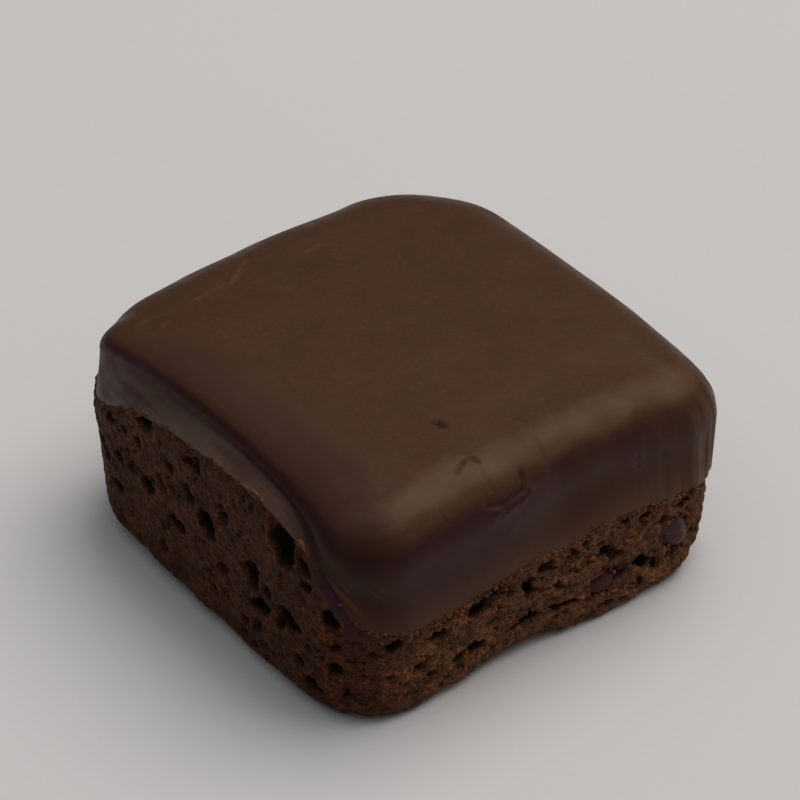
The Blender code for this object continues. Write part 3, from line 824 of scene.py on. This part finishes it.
def crumbs_at_lip(work, rng, shift):
    """Crumbs along the chocolate's lower edge, thick on the coated side and rare behind."""
    places = rng.uniform(0, 360, CRUMBS_TRIED)
    rare = (rng.random(CRUMBS_TRIED) < 0.08) & ((places < 140) | (places > 326))
    for place in places[((places > 222) & (places < 309)) | rare]:
        phi = np.array([math.radians(place)])
        lip, flare = sizes_at(LAYER_SECTIONS, phi)[0, 4:6]
        z = lip + rng.normal(0.05, 0.22)
        inset = flare + rng.uniform(-0.02, 0.22)
        plan = plan_point(phi)[0] - plan_normal(phi)[0] * inset
        size = 0.10 + 0.2 * rng.random() ** 2
        clinging_crumb(work, (plan[0], plan[1], z), size, rng, shift)


def crumbs_round_chips(work, rng, shift):
    """Crumbs along the rims of the pockets in which the chips sit."""
    for _, chip_place, chip_z, width, height, *_ in CHIPS:
        for turn in rng.uniform(0, 2 * np.pi, CRUMBS_ROUND_CHIP):
            spread = rng.uniform(0.86, 1.12)
            along = length_to(chip_place) + width / 2 * spread * math.cos(turn)
            phi = np.array([np.interp(along, *outline_lengths()[::-1])])
            z = chip_z + height / 2 * spread * math.sin(turn)
            plan = plan_point(phi)[0] - plan_normal(phi)[0] * (wall_inset(phi, z)[0] + 0.15)
            clinging_crumb(work, (plan[0], plan[1], z), 0.10 + 0.2 * rng.random(), rng, shift)


def loose_mesh(shift):
    """The crumbs that cling along the chocolate's lower edge and round the chips."""
    rng = np.random.default_rng(23)
    work = bmesh.new()
    crumbs_at_lip(work, rng, shift)
    crumbs_round_chips(work, rng, shift)
    mesh = bpy.data.meshes.new("loose_crumbs")
    work.to_mesh(mesh)
    work.free()
    mesh.shade_smooth()
    return mesh


class BROWNIE_OT_crumb(bpy.types.Operator):
    """Make the open crumb of the sponge and the loose crumbs that cling to it"""

    bl_idname = "brownie.crumb"
    bl_label = "Crumb"

    def execute(self, context):
        settings = context.scene.brownie_crumb
        finish = cake_crumb(context)
        piece("sponge_crumb", crumb_mesh(settings, frame_shift()), finish, "sponge")
        piece("loose_crumbs", loose_mesh(frame_shift()), finish)
        return {"FINISHED"}


def cake_crumb(context):
    """Dark chocolate cake, baked and then torn or cut: matt and granular to the eye.

    Moist grains of two browns lie side by side, painted shade turns the pores nearly black, and
    fat gives the grains a faint glint.
    """
    settings = context.scene.brownie_crumb
    made, tree, shader = fresh_material("baked_cake_crumb")
    place = node(tree, "ShaderNodeTexCoord").outputs["Object"]
    # Grains are 0.35 mm across, clots 1.4 mm and patches of moister crumb 5 mm
    fine = node(tree, "ShaderNodeTexNoise", {"Vector": place, "Scale": 1 / (0.5 * MM), "Detail": 5.0,
                                             "Roughness": 0.7})
    swirl = node(tree, "ShaderNodeMix", {"Factor": 0.0006, "A": place, "B": fine.outputs["Color"]},
                 data_type="RGBA", blend_type="ADD")
    cells = node(tree, "ShaderNodeTexVoronoi", {"Vector": swirl.outputs["Result"],
                                                "Scale": 1 / (0.35 * MM)})
    patches = node(tree, "ShaderNodeTexNoise", {"Vector": place, "Scale": 1 / (5 * MM), "Detail": 3.0})
    chance = node(tree, "ShaderNodeSeparateColor", {"Color": cells.outputs["Color"]})
    warm = node(tree, "ShaderNodeMapRange", {"Value": chance.outputs["Green"], "From Min": 0.45,
                                             "From Max": 1.0, "To Max": 0.85})
    grain = node(tree, "ShaderNodeMix", {"Factor": warm.outputs["Result"], "A": settings.base,
                                         "B": settings.grain}, data_type="RGBA")
    bright = node(tree, "ShaderNodeMapRange", {"Value": chance.outputs["Red"], "To Min": 0.6,
                                               "To Max": 1.45})
    tint = node(tree, "ShaderNodeMapRange", {"Value": patches.outputs["Fac"], "From Min": 0.3,
                                             "From Max": 0.7, "To Min": 0.65, "To Max": 1.25})
    shaded_cut_face = node(tree, "ShaderNodeAttribute", attribute_name="shaded_cut_face").outputs["Fac"]
    clots = node(tree, "ShaderNodeTexNoise", {"Vector": place, "Scale": 1 / (1.4 * MM), "Detail": 3.0,
                                              "Roughness": 0.6})
    clot = node(tree, "ShaderNodeMapRange", {"Value": clots.outputs["Fac"], "From Min": 0.35,
                                             "From Max": 0.62, "To Min": 0.5, "To Max": 1.22})
    patchy = node(tree, "ShaderNodeMath", {0: clot.outputs["Result"], 1: tint.outputs["Result"]},
                  operation="MULTIPLY")
    both = node(tree, "ShaderNodeMath", {0: bright.outputs["Result"], 1: patchy.outputs["Value"]},
                operation="MULTIPLY")
    toned = node(tree, "ShaderNodeVectorMath", {0: grain.outputs["Result"]}, operation="SCALE")
    tree.links.new(both.outputs["Value"], toned.inputs["Scale"])
    # Painted shade: deeper pores are mixed towards the hollow colour
    depth = node(tree, "ShaderNodeAttribute", attribute_name="depth").outputs["Fac"]
    painted_shade = node(tree, "ShaderNodeMapRange", {"Value": depth, "From Min": 0.05, "From Max": 0.9})
    # Painted shade: the cut face's crumb is tinted darker
    cut_face_shade = node(tree, "ShaderNodeMix", {"Factor": shaded_cut_face, "A": toned.outputs["Vector"],
                                        "B": settings.cut_face_shade}, data_type="RGBA",
                blend_type="MULTIPLY")
    sunk = node(tree, "ShaderNodeMix", {"Factor": painted_shade.outputs["Result"],
                                        "A": cut_face_shade.outputs["Result"], "B": settings.hollow},
                data_type="RGBA")
    smear = node(tree, "ShaderNodeAttribute", attribute_name="smear").outputs["Fac"]
    film = context.scene.brownie_chocolate.drape
    cover = node(tree, "ShaderNodeMix", {"Factor": smear, "A": sunk.outputs["Result"], "B": film},
                 data_type="RGBA")
    tree.links.new(cover.outputs["Result"], shader.inputs["Base Color"])
    bump = node(tree, "ShaderNodeBump", {"Height": fine.outputs["Fac"], "Strength": 0.6,
                                         "Distance": 0.25 * MM})
    tree.links.new(bump.outputs["Normal"], shader.inputs["Normal"])
    shader.inputs["Roughness"].default_value = 0.72
    shader.inputs["IOR"].default_value = 1.45
    shader.inputs["Specular IOR Level"].default_value = 0.2
    return made


def finer_on_coated(place):
    """Density of the layer's columns: more on the coated side, where the marks are."""
    return np.where((place > 215) & (place < 325), 2.2, 1.0)


def outward(rings):
    """Outward direction at each point of a grid of rings."""
    across = np.roll(rings, -1, axis=1) - np.roll(rings, 1, axis=1)
    down = np.gradient(rings, axis=0)
    n = np.cross(down, across)
    n /= np.maximum(np.linalg.norm(n, axis=-1), 1e-9)[..., None]
    return n


class Layer:
    """The chocolate layer's outer face as a grid: one column for each direction, rings from
    the middle of the top over the shoulder and down to the lower edge."""

    def __init__(self, count, plateau, shoulder, drape, waviness):
        self.phi = columns(count, finer_on_coated)
        self.place = np.degrees(self.phi)[None]
        self.side = on_cut_side(self.place)
        self.edge = plan_point(self.phi)
        self.normal = plan_normal(self.phi)
        self.rings = self.plain_rings(plateau, shoulder, drape)
        self.along = length_at(self.phi)[None] * np.ones(self.rings.shape[:2])
        self.lift_face(waviness)
        self.z = self.rings[..., 2]
        self.inset = np.sum((self.edge[None] - self.rings[..., :2]) * self.normal[None], -1)
        self.height = self.z - self.low
        # Share of the flare on the cut side, and fine streaks that run along it
        self.flared = ease((self.stand[None] + 0.4 - self.inset) / 0.9) * self.side
        streaks = np.stack([self.along / 7, self.inset / 0.5, self.z / 0.7], -1)
        self.streaky = noise(streaks, 1.0, 57)

    def ring(self, away, z):
        """A ring of points inside the outline by the distances away."""
        return np.column_stack([self.edge - self.normal * away[:, None], z])

    def plain_rings(self, plateau, shoulder, drape):
        """Rings of the face before its relief: top, shoulder, drape and rounded lip."""
        reach, drop, stand, hollow, lip, flare, thick = sizes_at(LAYER_SECTIONS, self.phi).T
        self.stand, self.flare, self.thick, self.rim = stand, flare, thick, stand + reach
        rim = self.edge - self.normal * self.rim[:, None]
        rings = [np.column_stack([rim * f, top_height(rim * f)]) for f in plateau]
        start = rings[-1][:, 2]
        for k in range(1, shoulder + 1):
            a = math.pi / 2 * k / shoulder
            rings.append(self.ring(stand + reach * (1 - math.sin(a)), start - drop * (1 - math.cos(a))))
        head = start - drop
        ragged = 0.22 * noise(np.column_stack([self.edge, lip]), 2.2, 41)
        ragged = ragged + 0.12 * noise(np.column_stack([self.edge, lip]), 0.7, 42)
        self.low = lip + ragged
        side = self.side[0]
        lip_round = LIP_ROUND * (1 - 0.6 * side) * (1 - 0.7 * around(self.place[0], 224, 9))
        foot = self.low + lip_round
        for k in range(1, drape + 1):
            f = k / drape
            out = ease(f) * (1 - side) + f ** 1.8 * side
            away = stand + (flare - stand) * out + hollow * math.sin(math.pi * f ** 0.8) ** 2
            rings.append(self.ring(away, head + (foot - head) * f))
        for a in (25, 50, 70, 90):
            turn = math.radians(a)
            rings.append(self.ring(flare + lip_round * (1 - math.cos(turn)),
                                   foot - lip_round * math.sin(turn)))
        return np.stack(rings)

    def lift_face(self, waviness):
        """Gives the face its waves, wrinkles, marks and dragged crumb."""
        rings = self.rings
        z = rings[..., 2]
        self.out = outward(rings)
        lift = waviness * (noise(rings, 11.0, 51) + 0.5 * noise(rings, 5.0, 52))
        lift = lift + 0.012 * noise(rings, 0.9, 53)
        # Upright wrinkles where the chocolate hangs round the right corner
        self.wrinkle = noise(np.stack([self.along, z / 9, 0 * self.along], -1), 0.9, 54)
        lift = lift + 0.18 * self.wrinkle * around(self.place, 311, 11) * ease((27 - z) / 3)
        self.mark = np.zeros(z.shape)
        self.pale = np.zeros(z.shape)
        uneven = 0.8 + 0.3 * noise(rings, 0.7, 62)
        for depth, darkness, width, path in MARKS:
            near = closeness(rings, on_surface(path, rings), width) * uneven
            lift = lift - depth * near
            # The marks' darkness is partly their own dark and partly painted shade in the grooves
            self.mark = np.maximum(self.mark, np.clip(near * darkness, 0, 1))
            self.pale = np.maximum(self.pale, -near * darkness)
        # Crumb dragged into the front corner, in streaks that run down to the right
        across = np.stack([(self.along + z) / 0.55, (self.along - z) / 6, 0 * self.along], -1)
        self.drag = ease(1.9 * noise(across, 1.0, 55) - 0.1)
        self.drag = self.drag * around(self.place, 223, 7) * ease((21.5 - z) / 2)
        lift = lift + 0.10 * self.drag
        self.rings = rings + self.out * lift[..., None]


def layer_underside(layer):
    """Rings of the layer's hidden inner face, from the lower edge back under the top."""
    under = []
    for share, up in ((0.8, 0.1), (1.0, 0.8), (1.15, 2.2), (1.6, 4.0)):
        away = layer.flare + layer.thick * share
        over = [np.interp(-away[k], -layer.inset[::-1, k][::-1], layer.z[::-1, k][::-1])
                for k in range(len(away))]
        z = np.minimum(layer.low + up, np.array(over) - np.minimum(0.7, 0.2 + up / 3))
        under.append(layer.ring(away, z))
    plan = layer.edge - layer.normal * (layer.rim + 2.5)[:, None]
    under.append(np.column_stack([plan, top_height(plan) - LAYER]))
    return np.stack(under)


def bloom_sheen_amount(layer):
    """Pale film on the cut side's flare, partly dusty, bloomed fat and partly a painted reflection of
    the bright surroundings, fading low down towards the front.
    """
    low_front_fade = 0.5 * ease(1 - layer.height / 1.8) * ease((layer.place - 172) / 16)
    return layer.flared * (0.84 + 0.24 * layer.streaky) * (1 - low_front_fade)


def shade_amount(layer):
    """Painted shade on the chocolate: darkest where the drape turns down, paler again towards its lower
    edge.
    """
    place = layer.place
    level = layer.out[..., 2]
    steep = ease((0.78 - level) / 0.4) * (0.12 + 0.68 * ease(layer.height / 9.5)) * (1 - layer.side)
    steep = steep * (1 + 0.3 * noise(layer.rings, 4.5, 64) + 0.25 * noise(layer.rings, 1.8, 65))
    steep = steep * (1 + 0.35 * around(place, 244, 14) * ease(layer.height / 3))
    # Painted shade low on the front corner
    corner = around(place, 227, 13) * ease((23 - layer.z) / 5)
    steep = np.maximum(steep, 0.9 * corner * ease((0.7 - level) / 0.3))
    streak = ease(0.42 - 0.9 * layer.streaky + 0.7 * ease((place - 180) / 14)) * 0.6 * layer.flared
    turned = 0.95 * ease((0.97 - level) / 0.3) * layer.side * (1 - layer.flared)
    turned = turned + streak * layer.side
    # Painted shade on the top beside the rim, from the cut side round to the front corner
    beside = 0.35 * around(np.maximum(layer.inset, layer.rim[None]), layer.rim[None], 2.5)
    beside = beside * within(place, 145, 243, 15, 12)
    # Less painted shade where the right corner is lit
    lit = 0.85 * around(place, 317, 10)
    return np.maximum.reduce([steep, turned, beside]) * (1 - lit)


def highlight_amount(layer):
    """Painted highlight in a paler colour: along the coated side's shoulder and on the right corner."""
    rings = layer.rings
    place = layer.place
    reach = 6.4 + 2.0 * around(rings[..., 0], -12, 8) + 0.9 * noise(rings, 2.4, 58)
    begin = 2.0 + 0.5 * noise(rings, 3.0, 59)
    highlit = ease((layer.inset - begin) / 1.2) * ease((reach - layer.inset) / 2.6)
    highlit = highlit * within(place, 232, 322, 10, 12) * (layer.z > 20)
    # Painted light on the right corner's wall, in streaks along its wrinkles
    right_corner_light = 2.3 * around(place, 318, 9) * ease((26 - layer.z) / 4)
    highlit = np.maximum(highlit, right_corner_light * np.clip(0.75 + 0.9 * layer.wrinkle, 0, 1.5))
    return highlit * (0.75 + 0.35 * noise(rings, 3.4, 60))


def mark_and_shade_amount(layer):
    """Darkest colour: the marks' own dark with painted shade in their grooves, and painted shade on the
    cut side's rim and at the front corner.
    """
    place = layer.place
    # Painted shade where the rim turns down and beside it
    painted_shade = 0.55 * ease((0.97 - layer.out[..., 2]) / 0.27)
    beside = 0.3 * around(np.maximum(layer.inset, layer.rim[None]), layer.rim[None], 1.8)
    painted_shade = np.maximum(painted_shade, beside * ease((place - 180) / 22))
    painted_shade = painted_shade * within(place, 150, 238, 20, 12)
    painted_shade = painted_shade * (1 - 0.9 * layer.flared * ease((214 - place) / 10))
    return np.maximum(layer.mark, painted_shade)


def crumb_and_lower_light_amount(layer):
    """Crumb in the chocolate: dragged streaks, pale nicks and a fringe at the lower edge, with painted
    light that makes the coated side's lower wall paler and warmer.
    """
    fringe = ease(0.5 - layer.height / 0.9 + 0.9 * noise(layer.rings, 1.0, 56))
    fringe = fringe * (0.3 + 0.2 * layer.side)
    # Painted light: the lower part of the coated side's wall is mixed towards the paler grain colour
    thin = 0.6 * ease(1 - layer.height / 4.5) * (1 - layer.side)
    thin = thin * (1 + 0.4 * noise(layer.rings, 2.6, 66))
    return np.maximum.reduce([layer.drag, fringe, layer.pale, thin])


def chocolate_mesh(settings, shift):
    """The chocolate layer: poured top, wide shoulder, drape and ragged lower edge."""
    plateau = np.concatenate([np.linspace(0.06, 0.5, 9), np.linspace(0.5, 1.0, 38)[1:]])
    layer = Layer(count=780, plateau=plateau, shoulder=34, drape=38, waviness=settings.waviness / MM)
    grid = np.concatenate([layer.rings, layer_underside(layer)]) + np.array(shift)
    top = np.array([0.0, 0.0, float(top_height(np.zeros(2)))]) + np.array(shift)
    mesh = grid_mesh("icing_layer", grid, top, top - np.array([0, 0, LAYER]))
    mesh.flip_normals()
    point_values(mesh, "bloom_sheen", bloom_sheen_amount(layer))
    point_values(mesh, "shade", shade_amount(layer))
    point_values(mesh, "highlit", highlight_amount(layer))
    point_values(mesh, "mark", mark_and_shade_amount(layer))
    point_values(mesh, "drag", crumb_and_lower_light_amount(layer))
    return mesh


class BROWNIE_OT_chocolate(bpy.types.Operator):
    """Make the chocolate layer over the sponge"""

    bl_idname = "brownie.chocolate"
    bl_label = "Chocolate layer"

    def execute(self, context):
        settings = context.scene.brownie_chocolate
        mesh = chocolate_mesh(settings, frame_shift())
        piece("icing_layer", mesh, set_chocolate(context), "icing")
        return {"FINISHED"}


def set_chocolate(context):
    """Cake coating chocolate, poured warm and set in air: an even satin with slow mottling.

    Sugar and fat make faint paler clouds a few millimetres wide. A pale film lies on the flare of
    the cut side, partly dusty, bloomed fat and partly a painted reflection; painted shade darkens
    the drape, and a painted highlight lightens the coated side's shoulder and the right corner.
    """
    settings = context.scene.brownie_chocolate
    made, tree, shader = fresh_material("poured_cake_chocolate")
    place = node(tree, "ShaderNodeTexCoord").outputs["Object"]
    clouds = node(tree, "ShaderNodeTexNoise", {"Vector": place, "Scale": 1 / (7 * MM), "Detail": 4.0,
                                               "Roughness": 0.55})
    specks = node(tree, "ShaderNodeTexNoise", {"Vector": place, "Scale": 1 / (0.6 * MM), "Detail": 3.0})
    tone = node(tree, "ShaderNodeMapRange", {"Value": clouds.outputs["Fac"], "From Min": 0.3,
                                             "From Max": 0.7, "To Min": 0.94, "To Max": 1.06})
    dust = node(tree, "ShaderNodeMapRange", {"Value": specks.outputs["Fac"], "From Min": 0.3,
                                             "From Max": 0.7, "To Min": 0.9, "To Max": 1.1})
    shade = node(tree, "ShaderNodeMath", {0: tone.outputs["Result"], 1: dust.outputs["Result"]},
                 operation="MULTIPLY")
    toned = node(tree, "ShaderNodeVectorMath", {0: settings.layer[:3]}, operation="SCALE")
    tree.links.new(shade.outputs["Value"], toned.inputs["Scale"])
    # Pale film on the cut side's flare: dusty fat with a painted reflection
    bloom_sheen = node(tree, "ShaderNodeAttribute", attribute_name="bloom_sheen").outputs["Fac"]
    colour = node(tree, "ShaderNodeMix", {"Factor": bloom_sheen,
                                          "A": toned.outputs["Vector"], "B": settings.bloom_sheen},
                  data_type="RGBA")
    # Painted shade: the drape colour, mixed in by the shade attribute
    turned = node(tree, "ShaderNodeAttribute", attribute_name="shade").outputs["Fac"]
    shaded = node(tree, "ShaderNodeMix", {"Factor": turned, "A": colour.outputs["Result"],
                                          "B": settings.drape}, data_type="RGBA")
    # Painted highlight: the paler colour on the shoulder and the right corner
    lit_patch = node(tree, "ShaderNodeAttribute", attribute_name="highlit").outputs["Fac"]
    lit_share = node(tree, "ShaderNodeMath", {0: lit_patch, 1: 0.5}, operation="MULTIPLY")
    highlighted = node(tree, "ShaderNodeMix", {"Factor": lit_share.outputs["Value"],
                                           "A": shaded.outputs["Result"], "B": settings.scuff},
                   data_type="RGBA")
    # The marks' own dark and painted shade in grooves, on the rim and at the front corner
    mark = node(tree, "ShaderNodeAttribute", attribute_name="mark").outputs["Fac"]
    dark = node(tree, "ShaderNodeMix", {"Factor": mark, "A": highlighted.outputs["Result"],
                                        "B": settings.mark}, data_type="RGBA")
    # This mix also paints light on the coated side's lower wall
    drag = node(tree, "ShaderNodeAttribute", attribute_name="drag").outputs["Fac"]
    held = node(tree, "ShaderNodeMath", {0: drag, 1: 0.2}, operation="MULTIPLY")
    crumbed = node(tree, "ShaderNodeMix", {"Factor": held.outputs["Value"],
                                           "A": dark.outputs["Result"],
                                           "B": context.scene.brownie_crumb.grain},
                   data_type="RGBA")
    tree.links.new(crumbed.outputs["Result"], shader.inputs["Base Color"])
    handled = node(tree, "ShaderNodeTexNoise", {"Vector": place, "Scale": 1 / (4 * MM), "Detail": 4.0})
    sheen = node(tree, "ShaderNodeMapRange", {"Value": handled.outputs["Fac"], "From Min": 0.35,
                                              "From Max": 0.65, "To Min": settings.roughness - 0.07,
                                              "To Max": settings.roughness + 0.08})
    tree.links.new(sheen.outputs["Result"], shader.inputs["Roughness"])
    bump = node(tree, "ShaderNodeBump", {"Height": specks.outputs["Fac"], "Strength": 0.25,
                                         "Distance": 0.05 * MM})
    tree.links.new(bump.outputs["Normal"], shader.inputs["Normal"])
    shader.inputs["IOR"].default_value = 1.46
    shader.inputs["Specular IOR Level"].default_value = 0.22
    shader.inputs["Specular Tint"].default_value = linear("#FFE6C4")
    return made


def chip_mesh(name, place, z, width, height, depth, behind, tilt, shift):
    """A smooth chip with flattened sides, seated in its pocket."""
    phi = np.array([math.radians(place)])
    plan = plan_point(phi) - plan_normal(phi) * (wall_inset(phi, z) + behind + 0.3)
    out = Vector((*plan_normal(phi)[0], 0.0))
    up = Vector((0.0, 0.0, 1.0))
    facing = Matrix((up.cross(out), out, up)).transposed().to_4x4()
    seat = Vector((*plan[0], z)) + Vector(shift)
    seated = Matrix.Translation(seat * MM) @ facing @ Matrix.Rotation(math.radians(tilt), 4, "Y")
    work = bmesh.new()
    bmesh.ops.create_icosphere(work, subdivisions=5, radius=1.0)
    points = np.array([v.co for v in work.verts])
    size = np.sum(np.abs(points) ** CHIP_SQUARENESS, axis=1) ** (-1 / CHIP_SQUARENESS)
    points = points * size[:, None] * np.array([width, depth, height]) / 2
    points *= 1 + 0.17 * noise(points + place, 1.5, 61)[:, None]
    for vert, point in zip(work.verts, points):
        vert.co = seated @ Vector(point * MM)
    mesh = bpy.data.meshes.new(name)
    work.to_mesh(mesh)
    work.free()
    mesh.shade_smooth()
    point_values(mesh, "melted", np.full(len(mesh.vertices), float(name == MELTED_CHIP)))
    return mesh


class BROWNIE_OT_chips(bpy.types.Operator):
    """Make the chocolate chips that show in the coated side"""

    bl_idname = "brownie.chips"
    bl_label = "Chips"

    def execute(self, context):
        finish = chip_chocolate(context)
        for name, *sizes in CHIPS:
            mesh = chip_mesh(name, *sizes, frame_shift())
            piece(name + "_smooth", mesh, finish, name)
        return {"FINISHED"}


def chip_chocolate(context):
    """Dark chocolate chips, moulded and then warmed by baking: smooth, with a soft gloss."""
    settings = context.scene.brownie_chocolate
    made, tree, shader = fresh_material("baked_chocolate_chip")
    place = node(tree, "ShaderNodeTexCoord").outputs["Object"]
    clouds = node(tree, "ShaderNodeTexNoise", {"Vector": place, "Scale": 1 / (1.5 * MM), "Detail": 3.0})
    tone = node(tree, "ShaderNodeMapRange", {"Value": clouds.outputs["Fac"], "To Min": 0.75,
                                             "To Max": 1.25})
    toned = node(tree, "ShaderNodeVectorMath", {0: settings.chip[:3]}, operation="SCALE")
    tree.links.new(tone.outputs["Result"], toned.inputs["Scale"])
    # The melted chip's darker colour, partly painted shade of its deeper seat
    melted = node(tree, "ShaderNodeAttribute", attribute_name="melted").outputs["Fac"]
    tinted = node(tree, "ShaderNodeMix", {"Factor": melted, "A": toned.outputs["Vector"],
                                          "B": settings.melted}, data_type="RGBA")
    tree.links.new(tinted.outputs["Result"], shader.inputs["Base Color"])
    shader.inputs["Roughness"].default_value = 0.45
    shader.inputs["IOR"].default_value = 1.46
    shader.inputs["Specular IOR Level"].default_value = 0.22
    return made


class BROWNIE_OT_stage(bpy.types.Operator):
    """Make the pale floor, the soft light and the camera"""

    bl_idname = "brownie.stage"
    bl_label = "Stage"

    def execute(self, context):
        settings = context.scene.brownie_stage
        make_floor(settings)
        make_lights(context, settings)
        make_camera(context)
        return {"FINISHED"}


def make_floor(settings):
    """A wide pale floor, matt with a faint tone."""
    mesh = bpy.data.meshes.new("pale_floor")
    half = FLOOR / 2
    mesh.from_pydata([(-half, -half, 0), (half, -half, 0), (half, half, 0), (-half, half, 0)], [],
                     [(0, 1, 2, 3)])
    made, tree, shader = fresh_material("matt_paper")
    place = node(tree, "ShaderNodeTexCoord").outputs["Object"]
    grain = node(tree, "ShaderNodeTexNoise", {"Vector": place, "Scale": 1 / (0.8 * MM), "Detail": 2.0})
    tone = node(tree, "ShaderNodeMapRange", {"Value": grain.outputs["Fac"], "To Min": 0.98,
                                             "To Max": 1.02})
    toned = node(tree, "ShaderNodeVectorMath", {0: settings.floor[:3]}, operation="SCALE")
    tree.links.new(tone.outputs["Result"], toned.inputs["Scale"])
    tree.links.new(toned.outputs["Vector"], shader.inputs["Base Color"])
    shader.inputs["Roughness"].default_value = 0.9
    mesh.materials.append(made)
    floor = bpy.data.objects.new("floor", mesh)
    bpy.context.scene.collection.objects.link(floor)


def area_light(name, direction, distance, size, power, colour):
    """A round soft light that looks at the brownie from a direction."""
    light = bpy.data.lights.new(name, "AREA")
    light.shape = "DISK"
    light.size = size
    light.energy = power
    light.color = linear(colour)[:3]
    lamp = bpy.data.objects.new(name, light)
    away = Vector(direction).normalized()
    lamp.location = away * distance + Vector((0, 0, VIEW_HEIGHT * MM))
    lamp.rotation_euler = away.to_track_quat("Z", "Y").to_euler()
    bpy.context.scene.collection.objects.link(lamp)


def make_lights(context, settings):
    """A large soft light overhead, a little to the right, and a surround that fades low down."""
    area_light("key", direction=(0.48, 0.02, 0.875), distance=1.8, size=1.9, power=settings.key,
               colour="#FFF8F1")
    world = bpy.data.worlds.new("surround")
    world.use_nodes = True
    tree = world.node_tree
    way = node(tree, "ShaderNodeTexCoord").outputs["Generated"]
    rise = node(tree, "ShaderNodeSeparateXYZ", {"Vector": way}).outputs["Z"]
    glow = node(tree, "ShaderNodeMapRange", {"Value": rise, "From Min": 0.55, "From Max": 0.9,
                                             "To Min": settings.fill, "To Max": settings.fill * 6})
    sky = tree.nodes["Background"]
    sky.inputs["Color"].default_value = linear("#F4F5F7")
    tree.links.new(glow.outputs["Result"], sky.inputs["Strength"])
    context.scene.world = world
    context.scene.view_settings.view_transform = "Standard"


def make_camera(context):
    """The camera, a long lens above the front corner."""
    a = math.radians(VIEW_AZIMUTH)
    e = math.radians(VIEW_ELEVATION)
    away = Vector((math.sin(a) * math.cos(e), -math.cos(a) * math.cos(e), math.sin(e)))
    side = Vector((math.cos(a), math.sin(a), 0.0))
    up = away.cross(side)
    place = Vector((0, 0, VIEW_HEIGHT)) + away * VIEW_DISTANCE + side * VIEW_RIGHT + up * VIEW_UP
    place += Vector(frame_shift())
    lens = bpy.data.cameras.new("view")
    lens.sensor_width = SENSOR
    lens.lens = VIEW_FOCAL * SENSOR / FRAME_PIXELS
    lens.clip_start = 0.01
    lens.clip_end = 10
    camera = bpy.data.objects.new("view", lens)
    turned = Matrix((side, up, away)).transposed().to_4x4()
    camera.matrix_world = Matrix.Translation(place * MM) @ turned
    context.scene.collection.objects.link(camera)
    context.scene.camera = camera


class BROWNIE_PT_panel(bpy.types.Panel):
    """Lists the brownie's pieces and settings"""

    bl_label = "Brownie"
    bl_idname = "BROWNIE_PT_panel"
    bl_space_type = "VIEW_3D"
    bl_region_type = "UI"
    bl_category = "Brownie"

    def draw(self, context):
        for group, operators in PANEL_ROWS:
            box = self.layout.box()
            settings = getattr(context.scene, group)
            for name in settings.bl_rna.properties.keys():
                if name not in {"rna_type", "name"}:
                    box.prop(settings, name)
            for operator in operators:
                box.operator(operator.bl_idname)


PANEL_ROWS = (
    ("brownie_crumb", (BROWNIE_OT_crumb,)),
    ("brownie_chocolate", (BROWNIE_OT_chocolate, BROWNIE_OT_chips)),
    ("brownie_stage", (BROWNIE_OT_stage,)),
)
CLASSES = (
    BrownieCrumbSettings,
    BrownieChocolateSettings,
    BrownieStageSettings,
    BROWNIE_OT_crumb,
    BROWNIE_OT_chocolate,
    BROWNIE_OT_chips,
    BROWNIE_OT_stage,
    BROWNIE_PT_panel,
)


def register():
    for each in CLASSES:
        bpy.utils.register_class(each)
    bpy.types.Scene.brownie_crumb = bpy.props.PointerProperty(type=BrownieCrumbSettings)
    bpy.types.Scene.brownie_chocolate = bpy.props.PointerProperty(type=BrownieChocolateSettings)
    bpy.types.Scene.brownie_stage = bpy.props.PointerProperty(type=BrownieStageSettings)


def unregister():
    del bpy.types.Scene.brownie_stage
    del bpy.types.Scene.brownie_chocolate
    del bpy.types.Scene.brownie_crumb
    for each in reversed(CLASSES):
        bpy.utils.unregister_class(each)


def main():
    register()
    bpy.ops.brownie.crumb()
    bpy.ops.brownie.chocolate()
    bpy.ops.brownie.chips()
    bpy.ops.brownie.stage()


if __name__ == "__main__":
    main()
